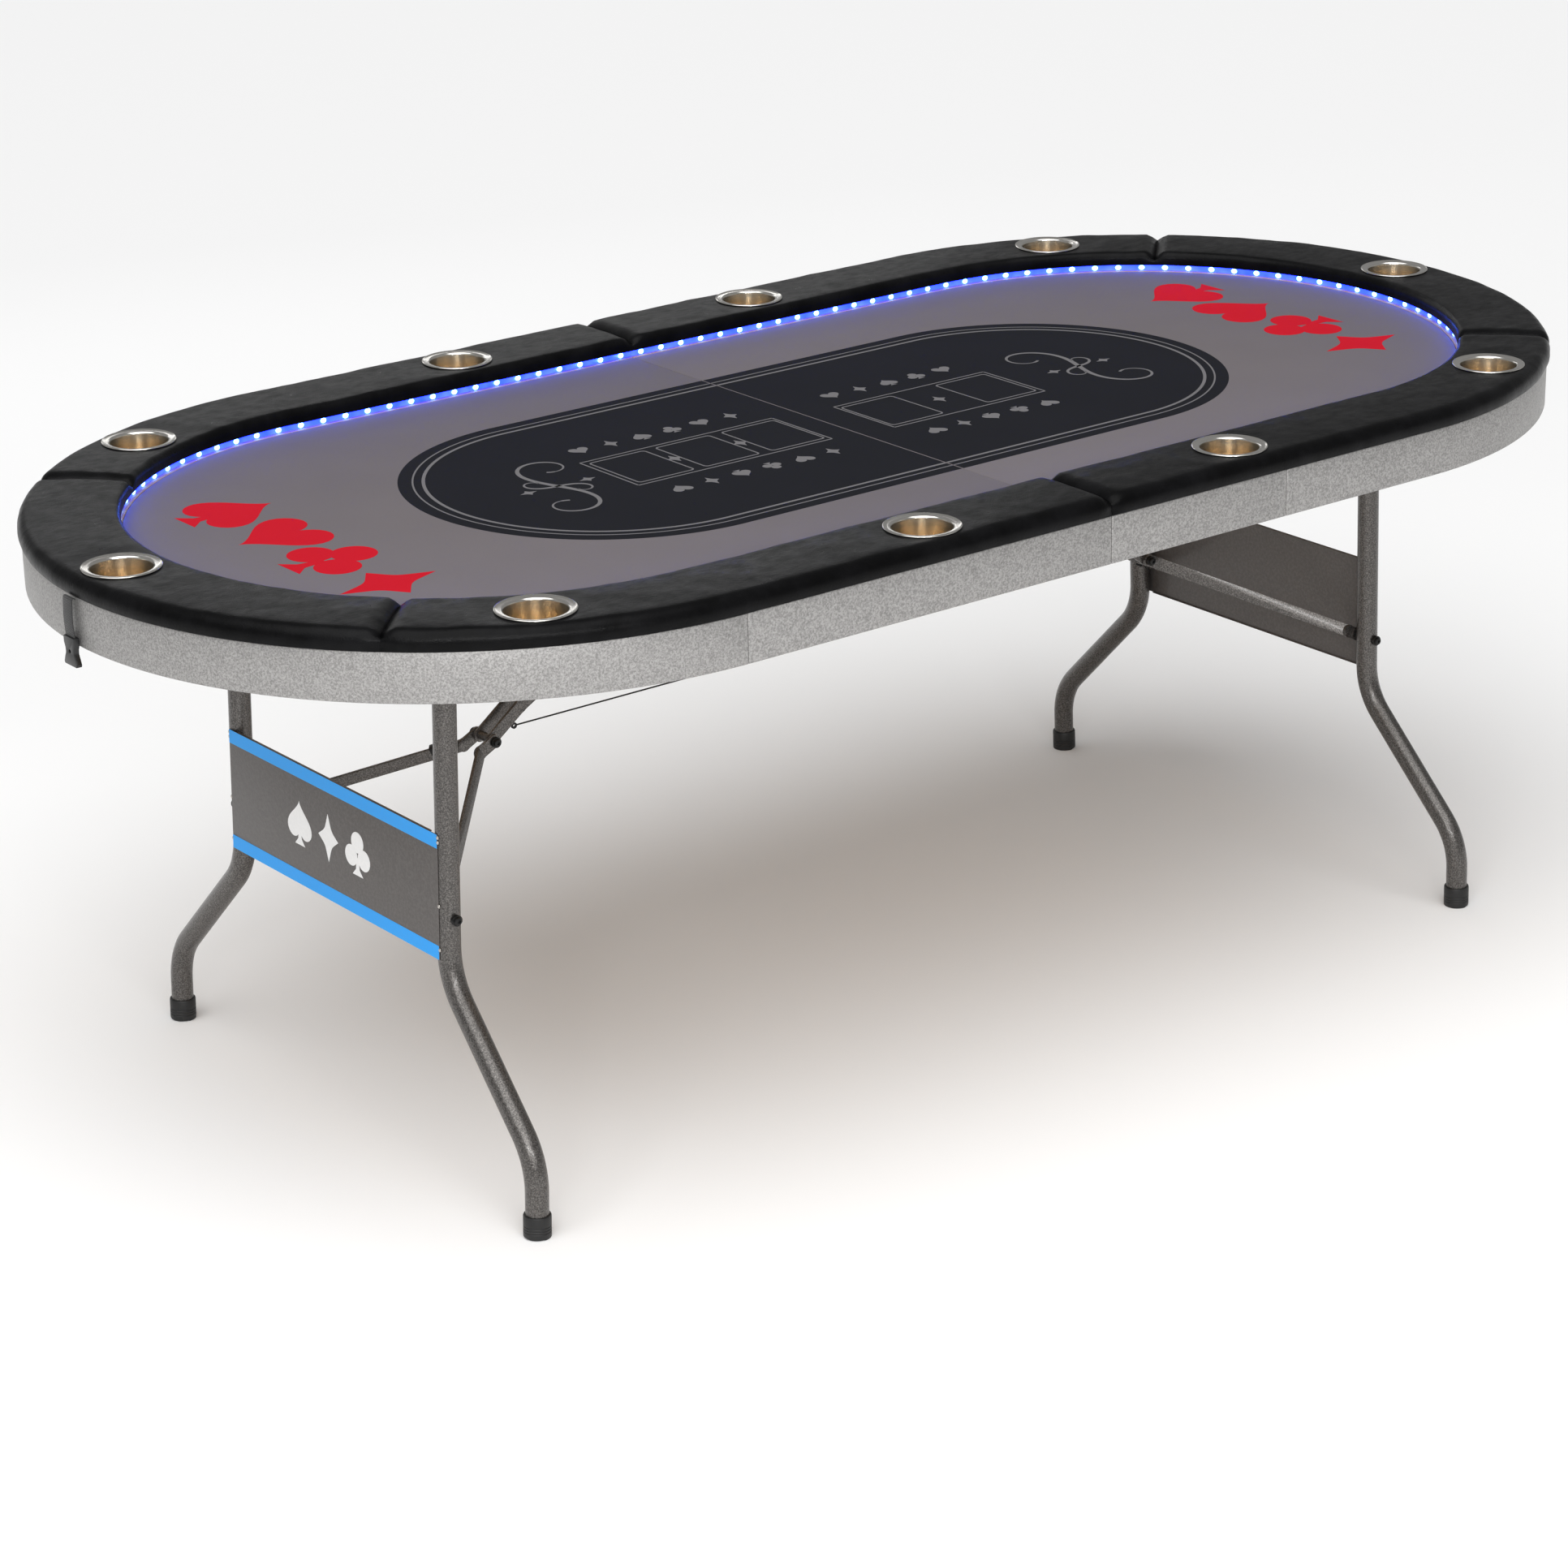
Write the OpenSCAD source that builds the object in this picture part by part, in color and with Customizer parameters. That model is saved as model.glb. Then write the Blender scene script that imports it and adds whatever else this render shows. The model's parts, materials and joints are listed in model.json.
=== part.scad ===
// Folding poker table: two hinged halves, each with its own folding leg frame.
// Origin on the floor under the centre of the playing surface.
// +X runs along the length towards half B, +Y across the width, +Z up. Millimetres.

/* [Top] */
// Overall length of the padded rail
table_l = 2134; // [1900:1:2400]
// Overall width of the padded rail
table_w = 1067; // [1000:1:1150]
// Height of the cup flanges above the floor
table_h = 762; // [730:1:790]
// Width of the padded rail
rail_w = 120; // [115:1:130]
// Height of the apron board
apron_h = 59.3; // [50:0.1:70]
// Gap from the centre plane to each half
seam_gap = 0.3; // [0.2:0.05:1]

/* [Cup holders] */
// Inner radius of a cup
cup_r = 35.5; // [33:0.5:37]
// Radius of a cup's flange
cup_flange_r = 46; // [42:0.5:47]
// Depth of a cup, flange to base
cup_depth = 58; // [45:1:62]
// Distance of the inner pair of side cups from the centre
cup_x = 240; // [150:1:300]
// Angle of the outer pair of side cups round the end arc
cup_angle = 64; // [55:1:75]

/* [Leg frames] */
// Radius of a leg tube
tube_r = 14; // [12:0.5:15]
// Distance of a leg's pivot from the centre
pivot_x = 732; // [700:1:760]
// Height of the leg and brace pivots
pivot_z = 700; // [696:1:702]
// Outward lean of the legs
lean = 1.9; // [0:0.1:4]
// Distance of the upper leg tubes from the middle
tube_y = 226; // [200:1:240]
// Length of the straight upper stretch of a leg
upper_l = 400; // [380:5:420]
// Radius of the two bends of a leg
bend_r = 90; // [70:1:100]
// Length of the slanted stretch between the bends
slant_l = 168; // [150:1:175]
// Height of the stiffening panel
panel_h = 154; // [120:1:160]
// Distance of the panel's top edge below the pivot
panel_drop = 258; // [250:1:270]

/* [Braces] */
// Distance of the brace bolt below the leg pivot
brace_drop = 362; // [350:1:370]
// Distance of the knee from the centre
knee_x = 534; // [530:1:537]
// Height of the knee
knee_z = 442; // [440:1:444]
// Height of the flat brace bars
bar_h = 16; // [12:1:17]
// Thickness of the flat brace bars
bar_t = 4; // [3:0.5:4]

/* [Hidden] */
$fn = 96;

// Plan: the end arcs are half circles about (cx, 0)
rail_r = table_w / 2;
cx = table_l / 2 - rail_r;
felt_r = rail_r - rail_w - 0.5;
apron_r = rail_r - 4;
apron_t = 6;
deck_r = apron_r - apron_t - 0.3;

// Heights, from the top down
pad_top = table_h - 1.5;
pad_bottom = pad_top - 18.5;
skirt_z = pad_top - 24;
apron_top = skirt_z - 0.2;
apron_z = apron_top - apron_h;
felt_top = pad_bottom - 9;
felt_t = 3;
deck_top = felt_top - felt_t;
deck_t = 12;
deck_z = deck_top - deck_t;

// Rail
cup_line = rail_r - 60;
cup_wall = 0.8;
cup_hole_r = cup_r + 1.5;
pad_seam = 0.02;
cups = [
    [cup_x, -cup_line], [cup_x, cup_line], [cx + cup_line, 0],
    [cx + cup_line * cos(cup_angle), -cup_line * sin(cup_angle)],
    [cx + cup_line * cos(cup_angle), cup_line * sin(cup_angle)]
];
led_channel_r = felt_r + 8;
led_count = 72;

// Centre joint
fold_z = apron_z;
beam_t = 17.7;
leaf_t = 2;
leaf_z = fold_z + 2.2;
beam_z = leaf_z + leaf_t;
knuckle_r = 4;
knuckle_l = 20;
pin_r = 2;
running_gap = 0.05;
hinge_ys = [-400, 0, 400];

// Leg frame, in its own frame: pivot at the origin, leg along -Z, outside towards +X
leg_l = pivot_z / cos(lean);
bend_drop = 2 * bend_r * sin(45) + slant_l * sin(45);
bend_shift = 2 * bend_r * (1 - cos(45)) + slant_l * sin(45);
foot_y = tube_y + bend_shift;
// Stretches of one bent leg or one curved pad meet end to end across a hairline
hairline = 0.01;
cap_r = 16.5;
cap_h = 28;
tube_wall = 1.5;
cap_floor = 4;
crossbar_r = 12.5;
panel_t = 1.2;
lip = 3;
bolt_r = 3;
head_r = 6.5;

// Braces
brace_y = 205;
knee_y = 18;
arm_y = 12;
arm_end_y = 60;
neck_l = 55;
neck_angle = 37;
bolt_x = pivot_x + brace_drop * sin(lean);
bolt_z = pivot_z - brace_drop * cos(lean);
lower_l = norm([bolt_x - knee_x, bolt_z - knee_z]);
// Folded flat, the knee lies on the pivot line, which fixes the upper arm's pivot
folded_knee = pivot_x - brace_drop + lower_l;
arm_pivot_x = (folded_knee ^ 2 - knee_x ^ 2 - (pivot_z - knee_z) ^ 2) / (2 * (folded_knee - knee_x));
neck = [knee_x - neck_l * cos(neck_angle), knee_z + neck_l * sin(neck_angle)];
arm_slope = (pivot_z - neck[1]) / (neck[0] - arm_pivot_x);
wire_r = 1;
ring_x = 500;
ring_z = 452.5;
ring_r = 4;
ring_wire_r = 1.2;
wire_y_a = -12;
wire_y_b = -9.5;

// Strap
strap_x = table_l / 2 + 0.5;
strap_z = 735;
strap_y = 14;
web_w = 20;
web_t = 1.4;
web_l = 46;

paint = [0.28, 0.265, 0.25];
vinyl = [0.05, 0.05, 0.055];
laminate = [0.7, 0.69, 0.68];
steel = [0.8, 0.77, 0.72];
plywood = [0.72, 0.58, 0.4];
black = [0.03, 0.03, 0.03];

// ---- helpers ----

// Half A is half B mirrored in the centre plane
module on_half(side) {
    mirror([side == "a" ? 1 : 0, 0, 0]) children();
}

// Sweeps a section drawn as [radius, height] along half B's outline between two angles
module arc_of_track(from, to) {
    translate([cx, 0, 0]) rotate([0, 0, from]) rotate_extrude(angle = to - from, $fn = 240) children();
}

// Sweeps the same section along the straight far side, from x0 to x1
module straight_of_track(x0, x1) {
    translate([x0, 0, 0]) rotate([90, 0, 90]) linear_extrude(x1 - x0) children();
}

// The whole outline of half B
module track(x0 = seam_gap) {
    arc_of_track(-90, 90) children();
    straight_of_track(x0, cx) children();
    mirror([0, 1, 0]) straight_of_track(x0, cx) children();
}

// A filled half plate
module half_plate(r, z0, z1) {
    arc_of_track(-90, 90) translate([0, z0]) square([r, z1 - z0]);
    translate([seam_gap, -r, z0]) cube([cx - seam_gap, 2 * r, z1 - z0]);
}

module cup_bores(z0, z1) {
    for (c = cups) translate([c[0], c[1], z0]) cylinder(r = cup_hole_r, h = z1 - z0);
}

// A cylinder along Y, from y0 to y1
module y_rod(r, y0, y1) {
    translate([0, y1, 0]) rotate([90, 0, 0]) cylinder(r = r, h = y1 - y0, $fn = 48);
}

module at_xz(x, z) {
    translate([x, 0, z]) children();
}

// A flat bar from p to q, its height square to Y
module flat_bar(p, q, t = bar_t, h = bar_h) {
    d = (q - p) / norm(q - p);
    side = [-d[2], 0, d[0]] / norm([d[0], d[2]]);
    n = cross(side, d);
    multmatrix([
        [d[0], n[0], side[0], p[0]],
        [d[1], n[1], side[1], p[1]],
        [d[2], n[2], side[2], p[2]],
        [0, 0, 0, 1]
    ]) translate([0, -t / 2, -h / 2]) cube([norm(q - p), t, h]);
}

// Flat bars through points, with a round joint at each point
module bar_path(points) {
    for (i = [0:len(points) - 2]) flat_bar(points[i], points[i + 1]);
    for (p = points) translate([p[0], 0, p[2]])
        y_rod(bar_h / 2 + 0.6, p[1] - bar_t / 2 - 0.05, p[1] + bar_t / 2 + 0.05);
}

module in_leg_frame() {
    at_xz(pivot_x, pivot_z) rotate([0, -lean, 0]) children();
}

// ---- top ----

module deck(side) color(plywood) on_half(side) difference() {
    half_plate(deck_r, deck_z, deck_top);
    cup_bores(deck_z - 1, deck_top + 1);
}

module felt(side) color([0.42, 0.4, 0.41]) on_half(side) half_plate(felt_r, deck_top, felt_top);

module rail_base(side) color(plywood) on_half(side) difference() {
    track() polygon([
        [felt_r + 0.5, deck_top], [deck_r, deck_top], [deck_r, pad_bottom],
        [led_channel_r, pad_bottom], [led_channel_r, felt_top], [felt_r + 0.5, felt_top]
    ]);
    cup_bores(deck_top - 1, pad_bottom + 1);
}

module apron_section() {
    translate([apron_r - apron_t, apron_z]) square([apron_t, apron_h]);
}

// The near joint of half B's apron sits nearer the centre than half A's
function apron_joint(side) = side == "a" ? cx : 283;

module apron_near(side) color(laminate) on_half(side) mirror([0, 1, 0])
    straight_of_track(seam_gap, apron_joint(side) - 0.2) apron_section();

module apron_far(side) color(laminate) on_half(side)
    straight_of_track(seam_gap, cx - 0.2) apron_section();

module apron_end(side) color(laminate) on_half(side) {
    arc_of_track(-90, 90) apron_section();
    if (apron_joint(side) < cx)
        mirror([0, 1, 0]) straight_of_track(apron_joint(side) + 0.2, cx) apron_section();
}

// Padded rail: crowned outer shoulder, rolled inner lip, skirt over the apron
module pad_section() {
    r0 = felt_r + 0.5;
    polygon([
        [r0, pad_bottom], [r0, pad_bottom + 10], [r0 + 3, pad_top - 3], [r0 + 10, pad_top],
        [rail_r - 12.5, pad_top], [rail_r - 5, pad_top - 4], [rail_r - 1, pad_top - 11],
        [rail_r, pad_top - 18], [rail_r - 1.5, skirt_z], [deck_r + 0.4, skirt_z], [deck_r + 0.4, pad_bottom]
    ]);
}

module side_pad() difference() {
    union() {
        straight_of_track(seam_gap, cx - hairline) pad_section();
        arc_of_track(45 + pad_seam, 90) pad_section();
    }
    cup_bores(pad_bottom - 1, pad_top + 1);
}

module rail_pad_far(side) color(vinyl) on_half(side) side_pad();
module rail_pad_near(side) color(vinyl) on_half(side) mirror([0, 1, 0]) side_pad();
module rail_pad_end(side) color(vinyl) on_half(side) difference() {
    arc_of_track(-45 + pad_seam, 45 - pad_seam) pad_section();
    cup_bores(pad_bottom - 1, pad_top + 1);
}

module cup_holders(side) color(steel) on_half(side)
    for (c = cups) translate([c[0], c[1], 0]) {
        rotate_extrude() polygon([
            [0, table_h - cup_depth], [cup_r + cup_wall, table_h - cup_depth],
            [cup_r + cup_wall, pad_top - hairline], [cup_r, pad_top - hairline],
            [cup_r, table_h - cup_depth + 1], [0, table_h - cup_depth + 1]
        ]);
        rotate_extrude() polygon([
            [cup_r, pad_top], [cup_flange_r, pad_top], [cup_flange_r, table_h - 0.5],
            [cup_flange_r - 0.5, table_h], [cup_r + 1, table_h], [cup_r, table_h - 1]
        ]);
    }

module led_strip(side) color([0.9, 0.9, 0.88]) on_half(side)
    track() translate([led_channel_r - 1, felt_top + 0.5]) square([1, 8]);

// Chips evenly along the strip: near side, end arc, far side
module leds(side) color([0.5, 0.75, 1]) on_half(side) {
    r = led_channel_r - 1;
    arc_l = PI * r;
    total = 2 * cx + arc_l;
    for (i = [0:led_count - 1]) {
        s = (i + 0.5) * total / led_count;
        a = s < cx ? -90 : s < cx + arc_l ? -90 + (s - cx) / r * 180 / PI : 90;
        x = s < cx ? s : s < cx + arc_l ? cx : total - s;
        translate([x, 0, felt_top + 4.5]) rotate([0, 0, a]) translate([r - 1.62, -2.5, -2.5]) cube([1.6, 5, 5]);
    }
}

// ---- centre joint ----

module cross_beam(side) color(plywood) on_half(side)
    translate([seam_gap, -deck_r, beam_z]) cube([beam_t, 2 * deck_r, deck_z - beam_z]);

// Half A carries the two outer knuckles of each hinge, half B the middle one
module hinge_leaves(side) color([0.45, 0.45, 0.47]) on_half(side) for (y = hinge_ys) {
    slots = side == "a" ? [-1, 1] : [0];
    translate([knuckle_r + 0.8, y - 1.5 * knuckle_l, leaf_z]) cube([12, 3 * knuckle_l, leaf_t]);
    for (i = slots) translate([0, y + (i - 0.5) * knuckle_l, fold_z]) difference() {
        union() {
            y_rod(knuckle_r, 0.2, knuckle_l - 0.2);
            translate([0, 0.2, leaf_z - fold_z]) cube([knuckle_r + 1, knuckle_l - 0.4, leaf_t - 0.3]);
        }
        y_rod(pin_r + running_gap, -1, knuckle_l + 1);
    }
}

module hinge_pins() color([0.6, 0.6, 0.62]) for (y = hinge_ys)
    at_xz(0, fold_z) y_rod(pin_r, y - 1.5 * knuckle_l - 1.5, y + 1.5 * knuckle_l + 1.5);

// Ears for the leg crossbar and for the upper brace arms, on plates under the deck
module leg_brackets(side) color(paint) on_half(side) {
    for (s = [-1, 1]) {
        translate([pivot_x - 22, s * 175 - 22, deck_z - 2]) cube([44, 44, 2]);
        for (y = [s * 175 - 20, s * 175 + 17]) difference() {
            union() {
                translate([pivot_x - 17, y, pivot_z]) cube([34, 3, deck_z - pivot_z]);
                at_xz(pivot_x, pivot_z) y_rod(17, y, y + 3);
            }
            at_xz(pivot_x, pivot_z) y_rod(crossbar_r + running_gap, y - 1, y + 4);
        }
    }
    translate([arm_pivot_x - 20, -arm_end_y - 14, deck_z - 2]) cube([40, 2 * arm_end_y + 28, 2]);
    for (s = [-1, 1]) translate([0, s * (arm_end_y + 4.5), 0]) {
        translate([arm_pivot_x - 9, -1.5, pivot_z]) cube([18, 3, deck_z - pivot_z]);
        at_xz(arm_pivot_x, pivot_z) {
            y_rod(9, -1.5, 1.5);
            y_rod(bolt_r, s > 0 ? -8 : -4, s > 0 ? 4 : 8);
            y_rod(head_r - 0.5, s > 0 ? 1.5 : -4.5, s > 0 ? 4.5 : -1.5);
        }
    }
}

// ---- leg frame ----

// A straight stretch of leg tube, h long
module leg_run(h) {
    difference() {
        cylinder(r = tube_r, h = h);
        translate([0, 0, -1]) cylinder(r = tube_r - tube_wall, h = h + 2);
    }
}

// A bend of leg tube through 45 degrees
module leg_bend() {
    difference() {
        rotate_extrude(angle = 45) translate([bend_r, 0]) circle(tube_r);
        rotate([0, 0, -1]) rotate_extrude(angle = 47) translate([bend_r, 0]) circle(tube_r - tube_wall);
    }
}

module leg_tube() {
    difference() {
        translate([0, tube_y, hairline - upper_l]) leg_run(upper_l + 7 - hairline);
        at_xz(0, -brace_drop) y_rod(bolt_r + 0.1, tube_y - 2 * tube_r, tube_y + 2 * tube_r);
    }
    translate([0, tube_y + bend_r, -upper_l]) rotate([90, 0, 90]) rotate([0, 0, 180]) leg_bend();
    translate([0, tube_y + bend_r * (1 - cos(45)), -upper_l - bend_r * sin(45)]) rotate([45, 0, 0])
        translate([0, 0, hairline - slant_l]) leg_run(slant_l - 2 * hairline);
    translate([0, foot_y - bend_r, -upper_l - bend_drop]) rotate([90, 0, 90]) leg_bend();
    translate([0, foot_y, cap_floor - leg_l]) leg_run(leg_l - upper_l - bend_drop - cap_floor - hairline);
}

module leg_tubes(side) color(paint) on_half(side) in_leg_frame() for (s = [0, 1]) mirror([0, s, 0]) leg_tube();

module crossbar(side) color(paint) on_half(side) in_leg_frame() difference() {
    y_rod(crossbar_r, -tube_y + 4, tube_y - 4);
    y_rod(crossbar_r - tube_wall, -tube_y, tube_y);
    for (s = [-1, 1]) translate([0, s * tube_y, -40]) cylinder(r = tube_r + 0.02, h = 80);
}

// Sheet across the outside of both legs, with a lip along the top and the bottom
module leg_panel(side) color(paint) on_half(side) in_leg_frame() translate([tube_r + 0.02, 0, -panel_drop - panel_h]) {
    translate([0, -tube_y - 2, 0]) cube([panel_t, 2 * tube_y + 4, panel_h]);
    for (z = [0, panel_h - panel_t]) translate([-lip, -tube_y + tube_r, z])
        cube([lip, 2 * (tube_y - tube_r), panel_t]);
}

module foot_caps(side) color(black) on_half(side) difference() {
    in_leg_frame() for (s = [-1, 1]) translate([0, s * foot_y, -leg_l - 2]) difference() {
        cylinder(r = cap_r, h = cap_h + 2);
        translate([0, 0, cap_floor + 2]) cylinder(r = tube_r + 0.02, h = cap_h);
    }
    translate([pivot_x - 100, -500, -20]) cube([300, 1000, 20]);
}

// Bolts that hold the lower brace bars to the legs, with spacers and nuts
module leg_bolts(side) color(black) on_half(side) in_leg_frame() at_xz(0, -brace_drop)
    for (s = [0, 1]) mirror([0, s, 0]) {
        y_rod(bolt_r, brace_y - 6, tube_y + tube_r + 2);
        y_rod(head_r, tube_y + tube_r, tube_y + tube_r + 4);
        y_rod(head_r - 0.5, brace_y + bar_t / 2 + 0.3, tube_y - tube_r);
        y_rod(head_r - 2, brace_y - 6, brace_y - bar_t / 2 - 0.9);
    }

// ---- braces ----

function at_bolt(y, d = 0) = [bolt_x, y, bolt_z] + d * [knee_x - bolt_x, 0, knee_z - bolt_z] / lower_l;

module lower_fork(side) color(paint) on_half(side) for (s = [0, 1]) mirror([0, s, 0]) difference() {
    bar_path([at_bolt(brace_y), at_bolt(brace_y - 2, 14), at_bolt(knee_y, lower_l - 22), at_bolt(knee_y, lower_l)]);
    at_xz(bolt_x, bolt_z) y_rod(bolt_r + running_gap, brace_y - 20, brace_y + 20);
    at_xz(knee_x, knee_z) y_rod(bolt_r + running_gap, knee_y - 10, knee_y + 10);
}

module knee_bolts(side) color(black) on_half(side) at_xz(knee_x, knee_z) for (s = [0, 1]) mirror([0, s, 0]) {
    y_rod(bolt_r, knee_y - bar_t / 2, knee_y + bar_t / 2 + 1);
    y_rod(head_r, knee_y + bar_t / 2 + 0.1, knee_y + bar_t / 2 + 4);
}

// Spring-steel clip round the far lower bar, which slides along it
module lock_clip(side) color(black) on_half(side) {
    p = at_bolt(brace_y - 2, 14);
    q = at_bolt(knee_y, lower_l - 22);
    at = q + (p - q) * 0.12;
    step = (p - q) / norm(p - q);
    difference() {
        flat_bar(at, at + 9 * step, bar_t + 5, bar_h + 7);
        flat_bar(at - step, at + 10 * step, bar_t + 0.8, bar_h + 0.8);
    }
}

function arm_at(x, y) = [x, y, pivot_z - (x - arm_pivot_x) * arm_slope];

// Two arms from the knee to the deck, joined by a spacer tube beside the knee
module upper_fork(side) color(paint) on_half(side) {
    for (s = [0, 1]) mirror([0, s, 0]) difference() {
        bar_path([
            [knee_x, arm_y, knee_z], [neck[0], arm_y, neck[1]], arm_at(neck[0] - 55, arm_y),
            arm_at(arm_pivot_x + 30, arm_end_y - 1), arm_at(arm_pivot_x, arm_end_y)
        ]);
        at_xz(arm_pivot_x, pivot_z) y_rod(bolt_r + running_gap, arm_end_y - 20, arm_end_y + 20);
    }
    at_xz(knee_x, knee_z) y_rod(6, -arm_y + bar_t / 2, arm_y - bar_t / 2);
}

function wire_y(side) = side == "a" ? wire_y_a : wire_y_b;

// Half of the tie wire, with the ring at its outer end
module tie_wire(side) color(black) on_half(side) translate([0, wire_y(side), 0]) {
    translate([seam_gap, 0, ring_z]) rotate([0, 90, 0])
        cylinder(r = wire_r, h = ring_x - ring_r + ring_wire_r - seam_gap, $fn = 24);
    at_xz(ring_x, ring_z) difference() {
        y_rod(ring_r, -ring_wire_r, ring_wire_r);
        y_rod(ring_r - 2 * ring_wire_r, -5, 5);
    }
}

// ---- straps and controls ----

module strap_webbing(side) color(black) on_half(side) translate([strap_x, strap_y, strap_z]) {
    y_rod(1.2, -web_w / 2, web_w / 2);
    translate([0.2, -web_w / 2, -web_l]) cube([web_t, web_w, web_l]);
}

module strap_buckle(side) color(black) on_half(side) translate([strap_x, strap_y, strap_z - web_l]) {
    translate([-2, -web_w / 2 - 3, -12]) cube([7, web_w + 6, 12]);
    translate([-2, -web_w / 2 + 1, -22]) cube([7, web_w - 2, 10]);
    translate([-2, -web_w / 2 - 4, -34]) cube([7, web_w + 8, 12]);
}

box_at = [-110, 250];
box_size = [70, 90, 28];
button_travel = 2;

module control_box() color(black) difference() {
    translate([box_at[0], box_at[1], deck_z - box_size[2]]) cube(box_size);
    translate([box_at[0] + 2, box_at[1] + 2, deck_z - box_size[2] + 2]) cube([66, 86, 24]);
    translate([box_at[0] + 35, box_at[1] + 20, deck_z - box_size[2] - 1]) cylinder(r = 7.3, h = 4);
}

module switch_button() color("red")
    translate([box_at[0] + 35, box_at[1] + 20, deck_z - box_size[2] - button_travel - 0.5])
        cylinder(r = 7, h = button_travel + 8);

// ---- output ----

deck("a");  // deck_a
felt("a");  // felt_a
rail_base("a");  // rail_base_a
apron_near("a");  // apron_near_a
apron_end("a");  // apron_end_a
apron_far("a");  // apron_far_a
rail_pad_near("a");  // rail_pad_near_a
rail_pad_end("a");  // rail_pad_end_a
rail_pad_far("a");  // rail_pad_far_a
cup_holders("a");  // cup_holders_a
led_strip("a");  // led_strip_a
leds("a");  // leds_a
cross_beam("a");  // cross_beam_a
hinge_leaves("a");  // hinge_leaves_a
leg_brackets("a");  // leg_brackets_a
crossbar("a");  // crossbar_a
leg_tubes("a");  // leg_tubes_a
leg_panel("a");  // leg_panel_a
foot_caps("a");  // foot_caps_a
leg_bolts("a");  // leg_bolts_a
lower_fork("a");  // lower_fork_a
knee_bolts("a");  // knee_bolts_a
lock_clip("a");  // lock_clip_a
upper_fork("a");  // upper_fork_a
tie_wire("a");  // tie_wire_a
strap_webbing("a");  // strap_webbing_a
strap_buckle("a");  // strap_buckle_a
deck("b");  // deck_b
felt("b");  // felt_b
rail_base("b");  // rail_base_b
apron_near("b");  // apron_near_b
apron_end("b");  // apron_end_b
apron_far("b");  // apron_far_b
rail_pad_near("b");  // rail_pad_near_b
rail_pad_end("b");  // rail_pad_end_b
rail_pad_far("b");  // rail_pad_far_b
cup_holders("b");  // cup_holders_b
led_strip("b");  // led_strip_b
leds("b");  // leds_b
cross_beam("b");  // cross_beam_b
hinge_leaves("b");  // hinge_leaves_b
leg_brackets("b");  // leg_brackets_b
crossbar("b");  // crossbar_b
leg_tubes("b");  // leg_tubes_b
leg_panel("b");  // leg_panel_b
foot_caps("b");  // foot_caps_b
leg_bolts("b");  // leg_bolts_b
lower_fork("b");  // lower_fork_b
knee_bolts("b");  // knee_bolts_b
lock_clip("b");  // lock_clip_b
upper_fork("b");  // upper_fork_b
tie_wire("b");  // tie_wire_b
strap_webbing("b");  // strap_webbing_b
strap_buckle("b");  // strap_buckle_b
hinge_pins();
control_box();
switch_button();
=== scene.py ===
"""Folding poker table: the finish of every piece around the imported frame.

Lengths are in metres in the frame's own axes: +X along the table towards half B,
+Y across it, +Z up, origin on the floor under the centre.
"""

from __future__ import annotations

import json
import logging
import math
from dataclasses import dataclass, field
from enum import Enum
from typing import Callable, Iterable, Sequence

import bpy
from mathutils import Matrix, Vector, noise

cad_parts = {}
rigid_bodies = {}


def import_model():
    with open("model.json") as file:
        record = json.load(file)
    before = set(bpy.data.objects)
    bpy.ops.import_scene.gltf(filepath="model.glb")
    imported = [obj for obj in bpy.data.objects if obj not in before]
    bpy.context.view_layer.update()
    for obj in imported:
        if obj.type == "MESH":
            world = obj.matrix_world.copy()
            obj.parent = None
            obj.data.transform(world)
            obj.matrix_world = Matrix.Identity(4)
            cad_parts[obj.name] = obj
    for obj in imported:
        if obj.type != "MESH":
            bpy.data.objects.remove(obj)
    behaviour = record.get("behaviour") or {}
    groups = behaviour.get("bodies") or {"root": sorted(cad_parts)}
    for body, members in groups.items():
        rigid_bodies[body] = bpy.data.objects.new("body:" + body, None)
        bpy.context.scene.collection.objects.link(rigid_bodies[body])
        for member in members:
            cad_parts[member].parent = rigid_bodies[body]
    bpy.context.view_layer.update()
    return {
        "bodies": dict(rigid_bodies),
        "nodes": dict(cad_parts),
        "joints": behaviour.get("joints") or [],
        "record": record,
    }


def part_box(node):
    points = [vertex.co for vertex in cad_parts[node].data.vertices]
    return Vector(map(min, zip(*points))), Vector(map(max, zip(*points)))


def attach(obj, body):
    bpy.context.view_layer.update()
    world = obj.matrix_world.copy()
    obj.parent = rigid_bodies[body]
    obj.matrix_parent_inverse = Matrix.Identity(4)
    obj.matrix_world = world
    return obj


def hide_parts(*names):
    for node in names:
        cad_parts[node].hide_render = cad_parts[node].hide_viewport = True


LOG = logging.getLogger("poker_table")
Point = tuple[float, float, float]
Flat = tuple[float, float]
Colour = tuple[float, float, float]
MM = 0.001


class Side(Enum):
    """The two halves, with the sign of X that each lies on."""

    A = ("a", -1)
    B = ("b", 1)

    @property
    def tag(self) -> str:
        """The letter at the end of the half's names."""
        return self.value[0]

    @property
    def sign(self) -> int:
        """The sign of X on this half."""
        return self.value[1]

    def body(self, stem: str) -> str:
        """The name of this half's body or node with that stem."""
        return f"{stem}_{self.tag}"


# ---------------------------------------------------------------- materials


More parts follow.
